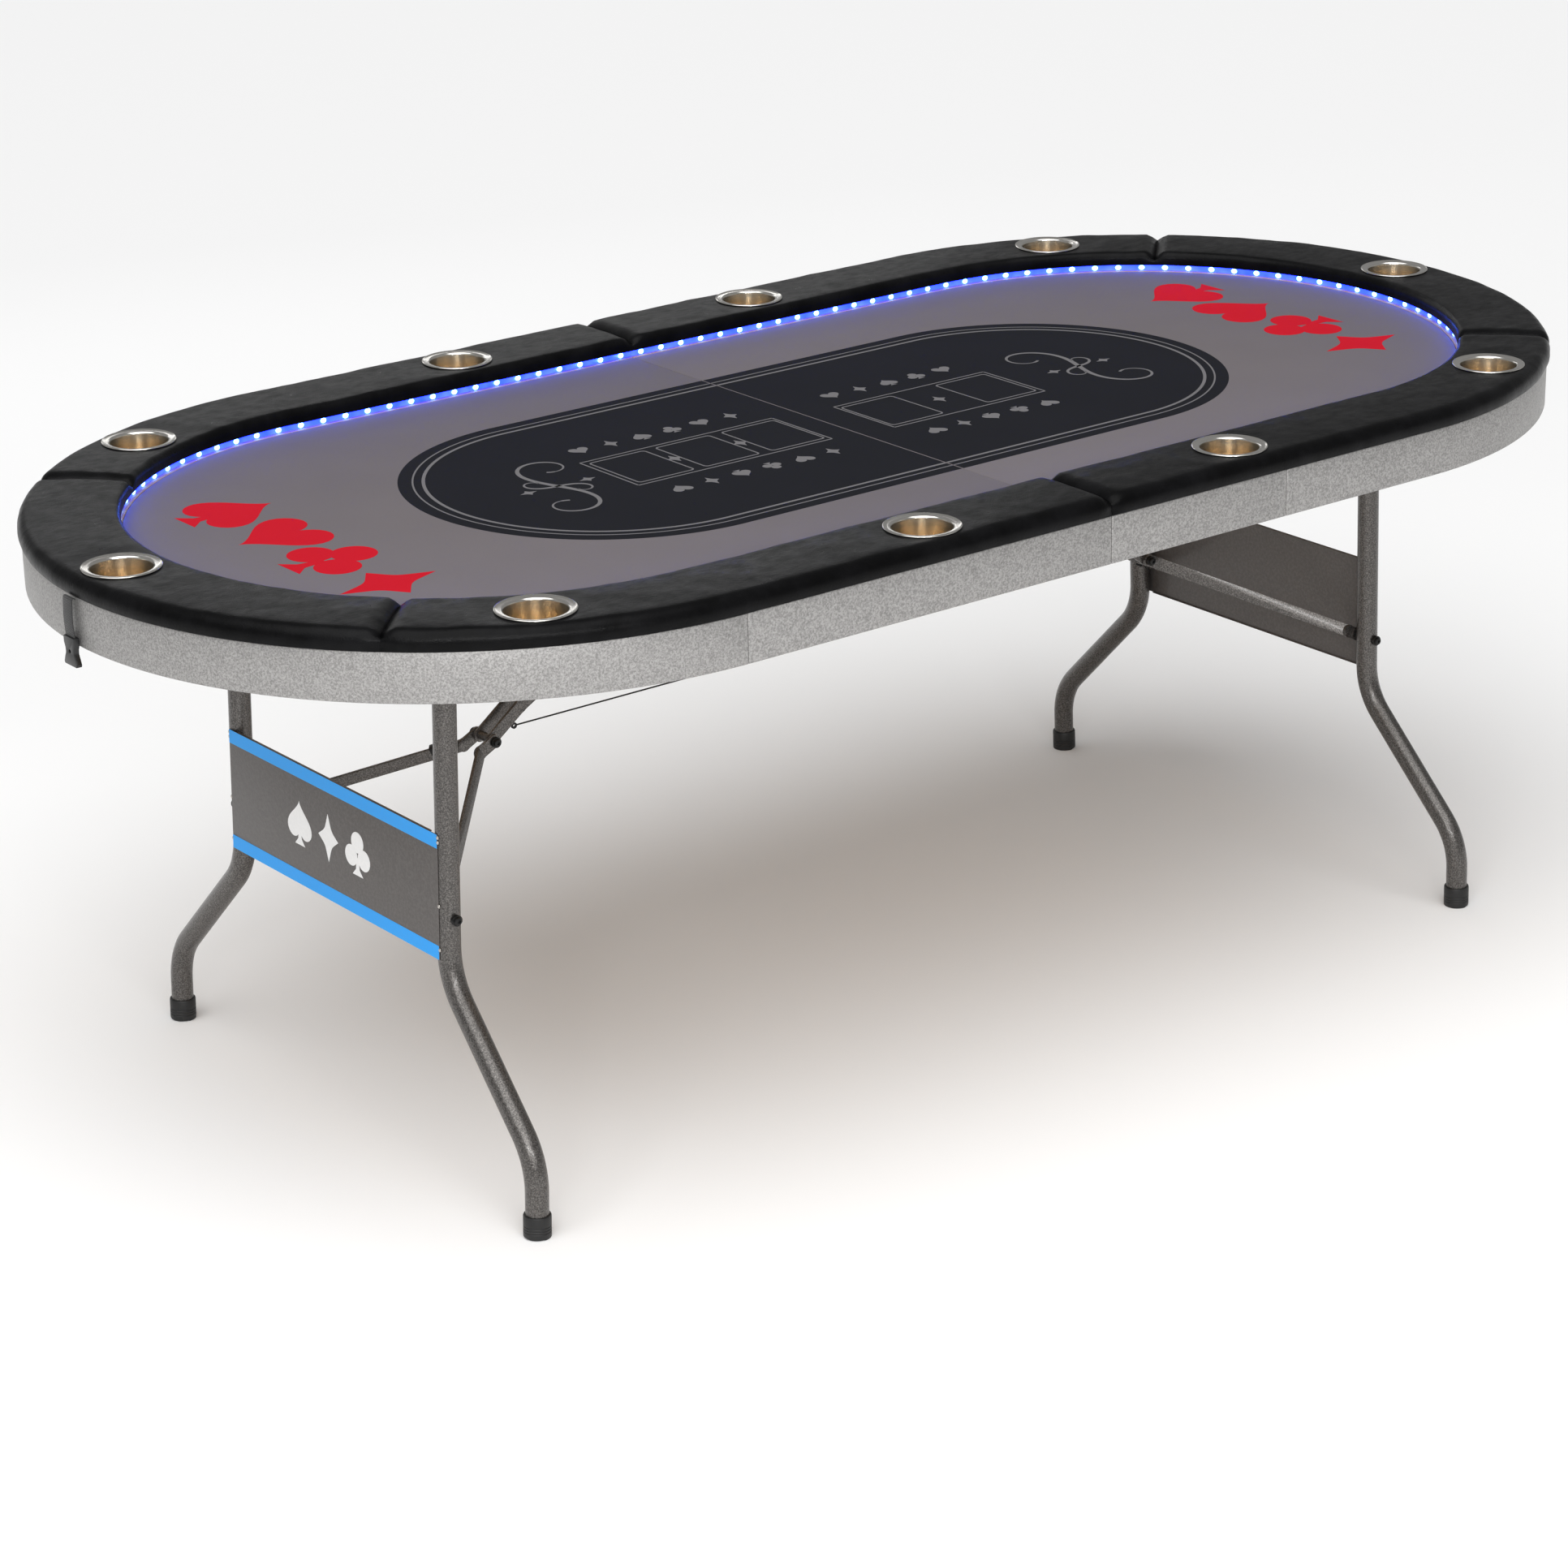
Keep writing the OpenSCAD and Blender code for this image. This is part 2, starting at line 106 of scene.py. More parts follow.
class Socket:
    """An output socket with the arithmetic that the finishes use."""

    def __init__(self, shader: "Shader", out: bpy.types.NodeSocket) -> None:
        """Wraps one output of the shader's tree."""
        self.shader = shader
        self.out = out

    def _math(self, operation: str, *values: "Socket | float") -> "Socket":
        """Adds a Math node for an operation on these values."""
        return self.shader.node("ShaderNodeMath", {"operation": operation}, dict(enumerate(values)))

    def __add__(self, other: "Socket | float") -> "Socket":
        """Sum."""
        return self._math("ADD", self, other)

    __radd__ = __add__

    def __sub__(self, other: "Socket | float") -> "Socket":
        """Difference."""
        return self._math("SUBTRACT", self, other)

    def __rsub__(self, other: "Socket | float") -> "Socket":
        """Difference from a number."""
        return self._math("SUBTRACT", other, self)

    def __mul__(self, other: "Socket | float") -> "Socket":
        """Product."""
        return self._math("MULTIPLY", self, other)

    __rmul__ = __mul__

    def step(self, low: float, high: float) -> "Socket":
        """0 below low, 1 above high, and a smooth ramp between."""
        settings = {"interpolation_type": "SMOOTHSTEP"}
        return self.shader.node("ShaderNodeMapRange", settings, {0: self, 1: low, 2: high, 3: 0.0, 4: 1.0})


class Shader:
    """One material's node tree, with a Principled shader at its end."""

    def __init__(self, name: str) -> None:
        """Makes an empty material of that name."""
        self.material = bpy.data.materials.new(name)
        self.material.use_nodes = True
        self.tree = self.material.node_tree
        self.tree.nodes.clear()
        self.end = self.tree.nodes.new("ShaderNodeOutputMaterial")
        self.surface = self.tree.nodes.new("ShaderNodeBsdfPrincipled")
        self.tree.links.new(self.surface.outputs[0], self.end.inputs[0])
        self.coordinates = self.node("ShaderNodeTexCoord", {}, {}, "Object")

    def node(self, kind: str, settings: dict, values: dict, output: str | int = 0) -> Socket:
        """Adds a node.

        Args:
            kind: the node's type.
            settings: attributes, set first.
            values: a number, colour or Socket for each input, by name or index.
            output: the output to return.

        Returns:
            That output, as a Socket.
        """
        new = self.tree.nodes.new(kind)
        for key, value in settings.items():
            setattr(new, key, value)
        for key, value in values.items():
            self.feed(new.inputs[key], value)
        return Socket(self, new.outputs[output])

    def feed(self, target: bpy.types.NodeSocket, value: "Socket | float | tuple") -> None:
        """Links or sets one input."""
        if isinstance(value, Socket):
            self.tree.links.new(value.out, target)
        elif isinstance(value, tuple) and len(value) == 3 and len(target.default_value) == 4:
            target.default_value = (*value, 1.0)
        else:
            target.default_value = value

    def set(self, **values: "Socket | float | tuple") -> "Shader":
        """Sets inputs of the Principled shader, named with _ for a space."""
        for key, value in values.items():
            self.feed(self.surface.inputs[key.replace("_", " ")], value)
        return self

    def noise(self, size: float, detail: float = 2.0, rough: float = 0.5, stretch: Point = (1, 1, 1)) -> Socket:
        """Noise from 0 to 1 whose features are about size metres across."""
        place = self.node("ShaderNodeMapping", {}, {"Vector": self.coordinates, "Scale": stretch})
        return self.node(
            "ShaderNodeTexNoise", {}, {"Vector": place, "Scale": 1 / size, "Detail": detail, "Roughness": rough}
        )

    def cells(self, size: float, feature: str = "F1") -> Socket:
        """Distance to the nearest of scattered points about size metres apart."""
        return self.node(
            "ShaderNodeTexVoronoi", {"feature": feature}, {"Vector": self.coordinates, "Scale": 1 / size}, "Distance"
        )

    def height(self, axis: str) -> Socket:
        """The X, Y or Z of the surface point, in metres."""
        return self.node("ShaderNodeSeparateXYZ", {}, {0: self.coordinates}, axis)

    def blend(self, factor: Socket, low: "Colour | Socket", high: "Colour | Socket") -> Socket:
        """Mixes two colours."""
        return self.node("ShaderNodeMix", {"data_type": "RGBA"}, {0: factor, 6: low, 7: high}, 2)

    def bump(self, height: Socket, depth: float, strength: float = 1.0) -> Socket:
        """A bumped normal, depth metres from lowest to highest."""
        return self.node("ShaderNodeBump", {}, {"Height": height, "Distance": depth, "Strength": strength}, "Normal")


@dataclass(frozen=True)
class Leather:
    """Black vinyl: fine grain, soft mottling and creases."""

    dark: Colour = (0.0018, 0.0018, 0.002)
    light: Colour = (0.005, 0.005, 0.0056)

    def build(self) -> bpy.types.Material:
        """Makes the material."""
        s = Shader("black_vinyl")
        mottle = s.noise(0.045, 5, 0.6)
        grain = s.cells(0.0016)
        crease = s.noise(0.02, 6, 0.72, (1.0, 1.6, 1.0))
        fold = s.noise(0.09, 3, 0.5)
        relief = grain * 0.12 + crease * 0.28 + fold * 1.2
        s.set(
            Base_Color=s.blend(mottle.step(0.35, 0.7), self.dark, self.light),
            Roughness=0.27 + 0.14 * crease.step(0.3, 0.75),
            Normal=s.bump(relief, 0.0015, 0.8),
            Specular_IOR_Level=0.09,
        )
        return s.material


@dataclass(frozen=True)
class Laminate:
    """Silver speckled apron laminate."""

    dark: Colour = (0.2, 0.195, 0.19)
    light: Colour = (0.46, 0.45, 0.44)

    def build(self) -> bpy.types.Material:
        """Makes the material."""
        s = Shader("silver_laminate")
        fleck = s.noise(0.0024, 3, 0.8)
        cloud = s.noise(0.02, 2, 0.5)
        mix = fleck.step(0.32, 0.68) * 0.85 + cloud * 0.2
        s.set(
            Base_Color=s.blend(mix, self.dark, self.light),
            Metallic=0.6,
            Roughness=0.4 + 0.15 * fleck,
            Normal=s.bump(fleck, 0.0003, 0.35),
        )
        return s.material


@dataclass(frozen=True)
class Felt:
    """Short felt with a faint nap."""

    name: str
    base: Colour
    spread: float = 0.16

    def build(self) -> bpy.types.Material:
        """Makes the material."""
        s = Shader(self.name)
        nap = s.noise(0.0016, 4, 0.7)
        drift = s.noise(0.12, 3, 0.5)
        low = tuple(c * (1 - self.spread) for c in self.base)
        high = tuple(c * (1 + self.spread) for c in self.base)
        s.set(
            Base_Color=s.blend(nap * 0.7 + drift * 0.3, low, high),
            Roughness=0.92,
            Specular_IOR_Level=0.12,
            Normal=s.bump(nap, 0.0004, 0.5),
        )
        return s.material


@dataclass(frozen=True)
class HammerPaint:
    """Dark grey paint with a hammered, speckled surface."""

    name: str
    dark: Colour
    light: Colour
    fleck: float
    metallic: float
    rough: float
    depth: float

    def build(self) -> bpy.types.Material:
        """Makes the material."""
        s = Shader(self.name)
        fleck = s.noise(self.fleck, 4, 0.75)
        dimple = s.cells(self.fleck * 1.3, "SMOOTH_F1")
        s.set(
            Base_Color=s.blend(fleck.step(0.38, 0.68), self.dark, self.light),
            Metallic=self.metallic,
            Roughness=self.rough + 0.18 * fleck,
            Normal=s.bump(dimple * 0.6 + fleck * 0.6, self.depth, 0.6),
            Coat_Weight=0.25,
            Coat_Roughness=0.12,
        )
        return s.material


@dataclass(frozen=True)
class SpunSteel:
    """Stainless steel spun round each cup: a bright flange and a brushed wall, whose warm colour below the flange is
    a painted reflection.
    """

    flange: Colour = (0.7, 0.68, 0.64)
    # The wall's warm colour is a painted reflection inside the cup, not a tint of the steel.
    wall: Colour = (0.84, 0.72, 0.55)
    flange_z: float = 0.7585

    def build(self) -> bpy.types.Material:
        """Makes the material."""
        s = Shader("spun_steel_painted_reflection")
        brush = s.noise(0.012, 5, 0.7, (0.15, 0.15, 6.0))
        depth = s.height("Z")
        s.set(
            # Painted reflection: below the flange the base colour turns warm.
            Base_Color=s.blend(depth.step(self.flange_z - 0.02, self.flange_z), self.wall, self.flange),
            Metallic=1.0,
            Roughness=0.12 + 0.14 * brush,
            Normal=s.bump(brush, 0.0003, 0.4),
        )
        return s.material


@dataclass(frozen=True)
class Plain:
    """A finish with one colour, a worn roughness and a fine surface."""

    name: str
    colour: Colour
    rough: float = 0.4
    metallic: float = 0.0
    grain: float = 0.003
    depth: float = 0.0002
    light: float = 1.35

    def build(self) -> bpy.types.Material:
        """Makes the material."""
        s = Shader(self.name)
        mottle = s.noise(self.grain, 4, 0.65)
        high = tuple(min(1.0, c * self.light + 0.002) for c in self.colour)
        s.set(
            Base_Color=s.blend(mottle.step(0.3, 0.8), self.colour, high),
            Metallic=self.metallic,
            Roughness=self.rough + 0.15 * mottle,
            Normal=s.bump(mottle, self.depth, 0.5),
        )
        return s.material


@dataclass(frozen=True)
class Webbing:
    """Ribbed black strap webbing: ribs run across the strap, with painted shade in the grooves between them."""

    rib: float = 0.0019

    def build(self) -> bpy.types.Material:
        """Makes the material."""
        s = Shader("ribbed_webbing")
        rib_relief_and_shade = s.node(
            "ShaderNodeTexWave",
            {"wave_type": "BANDS", "bands_direction": "Z"},
            {"Vector": s.coordinates, "Scale": 0.314 / self.rib, "Distortion": 1.2, "Detail": 1.0},
            1,
        )
        s.set(
            # Painted shade: the base colour is darker in the grooves between ribs than on their crests.
            Base_Color=s.blend(rib_relief_and_shade, (0.004, 0.004, 0.004), (0.03, 0.03, 0.03)),
            Roughness=0.65,
            Sheen_Weight=0.2,
            Normal=s.bump(rib_relief_and_shade, 0.0006, 0.8),
        )
        return s.material


@dataclass(frozen=True)
class Plywood:
    """Plain plywood of the decks and the cross beams."""

    def build(self) -> bpy.types.Material:
        """Makes the material."""
        s = Shader("plywood")
        figure = s.noise(0.05, 5, 0.6, (0.12, 1.0, 1.0))
        fine = s.noise(0.003, 3, 0.6, (0.1, 1.0, 1.0))
        s.set(
            Base_Color=s.blend(figure * 0.7 + fine * 0.3, (0.26, 0.16, 0.085), (0.55, 0.38, 0.22)),
            Roughness=0.62,
            Normal=s.bump(fine, 0.0003, 0.4),
        )
        return s.material


@dataclass(frozen=True)
class Glow:
    """A lit surface."""

    name: str
    colour: Colour
    strength: float

    def build(self) -> bpy.types.Material:
        """Makes the material."""
        s = Shader(self.name)
        flicker = s.noise(0.02, 1, 0.5)
        s.set(
            Base_Color=s.blend(flicker * 0.4, self.colour, (0.5, 0.6, 1.0)),
            Roughness=0.3,
            Emission_Color=s.blend(flicker * 0.04, self.colour, (0.3, 0.5, 1.0)),
            Emission_Strength=self.strength,
        )
        return s.material


@dataclass
class Palette:
    """Every finish of the table, built once."""

    made: dict[str, bpy.types.Material] = field(default_factory=dict)

    def __post_init__(self) -> None:
        """Builds the finishes."""
        finishes = {
            "vinyl": Leather(),
            "laminate": Laminate(),
            "felt": Felt("grey_felt", (0.158, 0.142, 0.148)),
            "oval": Felt("black_felt_print", (0.0105, 0.011, 0.0145), 0.35),
            "lines": Felt("grey_felt_print", (0.17, 0.165, 0.17)),
            "emblem": Felt("red_felt_print", (0.55, 0.006, 0.018), 0.1),
            "plywood": Plywood(),
            "cup_steel": SpunSteel(),
            "frame_paint": HammerPaint(
                "hammered_paint", (0.05, 0.046, 0.043), (0.19, 0.178, 0.168), 0.0017, 0.65, 0.24, 0.0005
            ),
            "panel_paint": HammerPaint(
                "textured_paint", (0.085, 0.077, 0.073), (0.115, 0.106, 0.101), 0.004, 0.1, 0.5, 0.0009
            ),
            "rubber": Plain("black_rubber", (0.007, 0.007, 0.007), 0.42),
            "black_metal": Plain("black_steel", (0.008, 0.008, 0.008), 0.3, 0.4, 0.002),
            "hinge_steel": Plain("zinc_plate", (0.5, 0.5, 0.52), 0.3, 1.0, 0.008, 0.0001, 1.2),
            "led_tape": Glow("led_tape", (0.0, 0.008, 1.0), 10.0),
            "led_lens": Glow("led_lens", (0.1, 0.3, 1.0), 16.0),
            "webbing": Webbing(),
            "buckle_plastic": Plain("buckle_plastic", (0.006, 0.006, 0.0065), 0.22),
            "box_plastic": Plain("box_plastic", (0.015, 0.015, 0.016), 0.5),
            "button_plastic": Plain("button_plastic", (0.5, 0.02, 0.015), 0.3),
            "stripe": Plain("blue_tape", (0.0, 0.33, 0.88), 0.38, 0.0, 0.004, 0.0001, 1.05),
            "white_print": Plain("white_print", (0.85, 0.85, 0.85), 0.4, 0.0, 0.004, 0.0001, 1.05),
            "weld": Plain("weld_bead", (0.45, 0.43, 0.4), 0.3, 0.9, 0.001, 0.0004),
        }
        self.made = {name: finish.build() for name, finish in finishes.items()}

    def __getitem__(self, name: str) -> bpy.types.Material:
        """The finish of that name."""
        return self.made[name]


# ---------------------------------------------------------------- workshop


class Workshop:
    """Mesh work that every sub-assembly shares."""

    def __init__(self, palette: Palette, frame: dict) -> None:
        """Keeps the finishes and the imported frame."""
        self.palette = palette
        self.nodes = frame["nodes"]
        self.slots = {row["node"]: row["material_slot"] for row in frame["record"]["subparts"]}

    @staticmethod
    def select(piece: bpy.types.Object) -> None:
        """Makes piece the only selected object."""
        bpy.ops.object.select_all(action="DESELECT")
        piece.select_set(True)
        bpy.context.view_layer.objects.active = piece

    def settle(self, piece: bpy.types.Object) -> None:
        """Applies the piece's place to its mesh, so its object sits at the origin."""
        self.select(piece)
        bpy.ops.object.transform_apply(location=True, rotation=True, scale=True)

    def edit(self, piece: bpy.types.Object, *steps: Callable[[], object]) -> None:
        """Runs edit-mode operators on the whole of a piece."""
        self.select(piece)
        bpy.ops.object.mode_set(mode="EDIT")
        bpy.ops.mesh.select_all(action="SELECT")
        for step in steps:
            step()
        bpy.ops.object.mode_set(mode="OBJECT")

    def mend(self, piece: bpy.types.Object) -> None:
        """Merges doubles and turns every face outwards."""
        self.edit(
            piece,
            lambda: bpy.ops.mesh.remove_doubles(threshold=1e-6),
            lambda: bpy.ops.mesh.normals_make_consistent(inside=False),
        )

    def modify(self, piece: bpy.types.Object, kind: str, **settings: object) -> None:
        """Adds a modifier and applies it."""
        self.select(piece)
        modifier = piece.modifiers.new(kind.lower(), kind)
        for key, value in settings.items():
            setattr(modifier, key, value)
        bpy.ops.object.modifier_apply(modifier=modifier.name)

    def smooth(self, piece: bpy.types.Object, degrees: float = 35) -> None:
        """Shades smooth, apart from edges sharper than that angle."""
        self.select(piece)
        bpy.ops.object.shade_smooth_by_angle(angle=math.radians(degrees))

    def join(self, pieces: Sequence[bpy.types.Object], name: str) -> bpy.types.Object:
        """Joins pieces into one of that name."""
        self.select(pieces[0])
        for piece in pieces:
            piece.select_set(True)
        bpy.ops.object.join()
        pieces[0].name = name
        return pieces[0]

    def from_points(
        self, name: str, points: Sequence[Point], faces: Sequence[Sequence[int]], edges: Sequence = ()
    ) -> bpy.types.Object:
        """A piece from worked-out points."""
        mesh = bpy.data.meshes.new(name)
        mesh.from_pydata(list(points), list(edges), list(faces))
        piece = bpy.data.objects.new(name, mesh)
        bpy.context.collection.objects.link(piece)
        return piece

    def plate(self, name: str, outline: Sequence[Flat], z: float, thick: float) -> bpy.types.Object:
        """A thin flat plate whose top lies at z."""
        bpy.ops.mesh.primitive_circle_add(vertices=len(outline), radius=0.1, fill_type="NGON")
        piece = bpy.context.object
        piece.name = name
        for vertex, (x, y) in zip(piece.data.vertices, outline):
            vertex.co = (x, y, z - thick)
        self.edit(
            piece,
            lambda: bpy.ops.mesh.extrude_region_move(TRANSFORM_OT_translate={"value": (0, 0, thick)}),
            lambda: bpy.ops.mesh.select_all(action="SELECT"),
            lambda: bpy.ops.mesh.normals_make_consistent(inside=False),
        )
        self.settle_name(piece)
        return piece

    def settle_name(self, piece: bpy.types.Object) -> None:
        """Applies a new primitive's place without changing its mesh's coordinates."""
        piece.matrix_world = Matrix.Identity(4)

    def band(
        self, name: str, outer: Sequence[Flat], inner: Sequence[Flat], z: float, thick: float
    ) -> bpy.types.Object:
        """A thin closed band between two outlines with as many points each."""
        n = len(outer)
        ring = [*outer, *inner]
        points = [(x, y, z) for x, y in ring] + [(x, y, z - thick) for x, y in ring]
        faces = []
        for i in range(n):
            j = (i + 1) % n
            faces.append((i, j, n + j, n + i))
            faces.append((2 * n + i, 3 * n + i, 3 * n + j, 2 * n + j))
            faces.append((i, 2 * n + i, 2 * n + j, j))
            faces.append((n + i, n + j, 3 * n + j, 3 * n + i))
        piece = self.from_points(name, points, faces)
        self.mend(piece)
        return piece

    def cut(self, piece: bpy.types.Object, side: Side, gap: float) -> None:
        """Keeps only what lies on one half, with a closed cut."""
        self.edit(
            piece,
            lambda: bpy.ops.mesh.bisect(
                plane_co=(side.sign * gap, 0, 0),
                plane_no=(side.sign, 0, 0),
                clear_inner=True,
                use_fill=True,
            ),
        )

    def turned(self, name: str, profile: Sequence[Flat], place: Point, axis: Point, steps: int = 48) -> bpy.types.Object:
        """Spins a profile of (radius, height) points round an axis through place."""
        up = Vector(axis).normalized()
        turn = up.to_track_quat("Z", "Y").to_matrix()
        points = [tuple(Vector(place) + turn @ Vector((r, 0, h))) for r, h in profile]
        piece = self.from_points(name, points, [], [(i, i + 1) for i in range(len(points) - 1)])
        self.edit(
            piece,
            lambda: bpy.ops.mesh.spin(steps=steps, angle=2 * math.pi, center=place, axis=tuple(up)),
        )
        self.edit(
            piece,
            lambda: bpy.ops.mesh.remove_doubles(threshold=2e-6),
            lambda: bpy.ops.mesh.normals_make_consistent(inside=False),
        )
        self.smooth(piece)
        return piece

    def swept(self, name: str, path: Sequence[Point], radius: float, sides: int = 20) -> bpy.types.Object:
        """A round rod with closed ends along a path."""
        curve = bpy.data.curves.new(name, "CURVE")
        curve.dimensions = "3D"
        curve.bevel_depth = radius
        curve.bevel_resolution = max(1, sides // 4 - 1)
        curve.use_fill_caps = True
        spline = curve.splines.new("POLY")
        spline.points.add(len(path) - 1)
        for slot, point in zip(spline.points, path):
            slot.co = (*point, 1)
        piece = bpy.data.objects.new(name, curve)
        bpy.context.collection.objects.link(piece)
        self.select(piece)
        bpy.ops.object.convert(target="MESH")
        piece = bpy.context.object
        self.mend(piece)
        self.smooth(piece, 50)
        return piece

    def copy_node(self, node: str, name: str) -> bpy.types.Object:
        """A merged copy of a CAD node's mesh, with its flat faces whole again."""
        source = self.nodes[node]
        piece = bpy.data.objects.new(name, source.data.copy())
        bpy.context.collection.objects.link(piece)
        piece.data.materials.clear()
        self.edit(
            piece,
            lambda: bpy.ops.mesh.remove_doubles(threshold=2e-6),
            lambda: bpy.ops.mesh.dissolve_limited(angle_limit=math.radians(0.4)),
        )
        return piece

    def place(
        self, piece: bpy.types.Object, body: str, finish: str, slot: str | None = None, stands_for: Iterable[str] = ()
    ) -> bpy.types.Object:
        """Finishes a piece: its material, its body and the CAD nodes that it stands for."""
        piece.data.materials.clear()
        piece.data.materials.append(self.palette[finish])
        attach(piece, body)
        stands_for = list(stands_for)
        if stands_for:
            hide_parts(*stands_for)
        LOG.info("%s rides on %s, %s", piece.name, body, finish)
        return piece

    def refine(self, node: str, body: str, bevel: float, finish: str | None = None, segments: int = 2) -> None:
        """Replaces a CAD node by a copy whose edges are eased by bevel metres."""
        finish = finish or self.slots[node]
        piece = self.copy_node(node, f"{node}_eased")
        self.modify(
            piece, "BEVEL", width=bevel, segments=segments, limit_method="ANGLE", angle_limit=math.radians(38)
        )
        self.smooth(piece, 40)
        self.place(piece, body, finish, self.slots[node], [node])


# ---------------------------------------------------------------- table top


@dataclass(frozen=True)
class Plan:
    """The plan of the table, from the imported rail."""

    length: float
    width: float
    rail: float
    top: float
    felt: float
    gap: float = 0.0003

    @property
    def radius(self) -> float:
        """Outer radius of the end arcs."""
        return self.width / 2

    @property
    def centre(self) -> float:
        """Distance from the middle to the centre of an end arc."""
        return self.length / 2 - self.radius

    @property
    def cup_line(self) -> float:
        """Radius of the line that the cups stand on."""
        return self.radius - self.rail / 2

    def cups(self) -> list[Flat]:
        """The five cups of half B, near side first."""
        angle = math.radians(64)
        x, y = self.centre + self.cup_line * math.cos(angle), self.cup_line * math.sin(angle)
        line = self.cup_line
        return [(0.240, -line), (x, -y), (self.centre + line, 0.0), (x, y), (0.240, line)]


@dataclass
class PaddedRail:
    """Six vinyl pads with sewn ends, crowned tops and a skirt over the apron."""

    shop: Workshop
    plan: Plan
    step: float = 0.007
    crown: float = 0.0016
    groove: float = 0.0085
    groove_width: float = 0.0075
    inner_roll: float = 0.0095
    outer_roll: float = 0.0155
    skirt: float = 0.0245

    def profile(self) -> list[Flat]:
        """The pad's section as (radius, height) points, anticlockwise from the inner lip's foot."""
        outer, top = self.plan.radius, self.plan.top - 0.0015
        inner = outer - self.plan.rail
        foot = top - 0.0183
        points: list[Flat] = [(inner + 0.0005, foot), (inner, foot + 0.004)]
        roll = self.inner_roll
        for i in range(7):
            a = math.radians(180 - 15 * i)
            points.append((inner + roll + roll * math.cos(a), top - roll + roll * math.sin(a)))
        start, end = inner + roll, outer - self.outer_roll
        flats = 15
        for i in range(1, flats):
            points.append((start + (end - start) * i / flats, top))
        roll = self.outer_roll
        for i in range(9):
            a = math.radians(90 - 11.25 * i)
            points.append((end + roll * math.cos(a), top - roll + roll * math.sin(a)))
        low = top - self.skirt
        points += [(outer - 0.0004, low + 0.005), (outer - 0.002, low + 0.0006), (outer - 0.0095, low + 0.0006)]
        points += [(outer - 0.0098, foot)]
        for i in range(1, 8):
            points.append((outer - 0.0098 + (inner + 0.0005 - outer + 0.0098) * i / 8, foot))
        return points

    def spine(self, kind: str) -> list[tuple[Flat, Flat]]:
        """Places along one pad of half B, each with its outward direction."""
        plan = self.plan
        arc = plan.cup_line * math.radians(45)
        places: list[tuple[Flat, Flat]] = []
        if kind == "end":
            n = round(2 * arc / self.step)
            angles = [math.radians(-45 + 90 * i / n) for i in range(n + 1)]
            return [((plan.centre, 0.0), (math.cos(a), math.sin(a))) for a in angles]
        n = round(plan.centre / self.step)
        for i in range(n):
            places.append(((plan.gap + (plan.centre - plan.gap) * i / n, 0.0), (0.0, 1.0)))
        n = round(arc / self.step)
        for i in range(n + 1):
            a = math.radians(90 - 45 * i / n)
            places.append(((plan.centre, 0.0), (math.cos(a), math.sin(a))))
        return places

    def shape(self, base: Flat, out: Flat, r: float, z: float, end: float, side: Side) -> Point:
        """Moves one section point to its place, with the pad's crown, seams and creases."""
        plan = self.plan
        top = plan.top - 0.0015
        inner = plan.radius - plan.rail
        x, y = base[0] + out[0] * r, base[1] + out[1] * r
        width = (r - inner) / plan.rail
        on_top = max(0.0, min(1.0, (z - top + 0.012) / 0.01))
        cup = min(math.hypot(x - c[0], abs(y) - abs(c[1])) for c in plan.cups())
        free = 1.0 if cup > 0.085 else max(0.0, (cup - 0.047) / 0.038)
        free = free * free * (3 - 2 * free)
        seam = math.exp(-((end / self.groove_width) ** 2))
        soft = math.exp(-end / 0.05)
        where = Vector((side.sign * x, y, z))
        fold = noise.noise(where * 14) * 0.0009 + noise.noise(where * 38) * 0.0005
        pucker = soft * 0.0009 * noise.noise(Vector((where.x * 9, where.y * 70, where.z * 40)))
        scallop = noise.noise(Vector((where.x * 26, where.y * 26, 3.0))) * 0.0009
        lift = on_top * free * (self.crown * math.sin(math.pi * max(0.0, min(1.0, width))) + fold + pucker)
        z += lift - on_top * self.groove * seam
        shoulder = max(0.0, width - 0.88) / 0.12
        push = shoulder * (scallop * free - 0.0045 * seam * (1 if z > top - 0.021 else 0.2)) - shoulder * 0.0004
        lip = max(0.0, 0.1 - width) / 0.1
        push += lip * on_top * (0.003 * seam + 0.0004)
        return (side.sign * (x + out[0] * push), y + out[1] * push, z)

    def pad(self, kind: str, side: Side) -> bpy.types.Object:
        """Builds one pad.

        Args:
            kind: near, end or far.
            side: the half that it belongs to.

        Returns:
            The closed pad, with holes for its cups.
        """
        profile, spine = self.profile(), self.spine(kind)
        flip = -1 if kind == "near" else 1
        middle = [Vector((b[0] + o[0] * self.plan.cup_line, b[1] + o[1] * self.plan.cup_line)) for b, o in spine]
        runs = [0.0]
        for a, b in zip(middle, middle[1:]):
            runs.append(runs[-1] + (b - a).length)
        points: list[Point] = []
        for (base, out), run in zip(spine, runs):
            end = min(run, runs[-1] - run)
            for r, z in profile:
                x, y, h = self.shape(base, (out[0], out[1]), r, z, end, side)
                points.append((x, flip * y, h))
        m, n = len(profile), len(spine)
        faces = [
            (i * m + j, i * m + (j + 1) % m, (i + 1) * m + (j + 1) % m, (i + 1) * m + j)
            for i in range(n - 1)
            for j in range(m)
        ]
        faces += [tuple(range(m)), tuple((n - 1) * m + j for j in reversed(range(m)))]
        piece = self.shop.from_points(f"padded_rail_{kind}_{side.tag}", points, faces)
        self.shop.mend(piece)
        for x, y in self.plan.cups():
            here = "end" if abs(y) < 0.01 else "near" if y < 0 else "far"
            if here == kind:
                self.bore(piece, (side.sign * x, y))
        self.shop.smooth(piece, 60)
        return piece

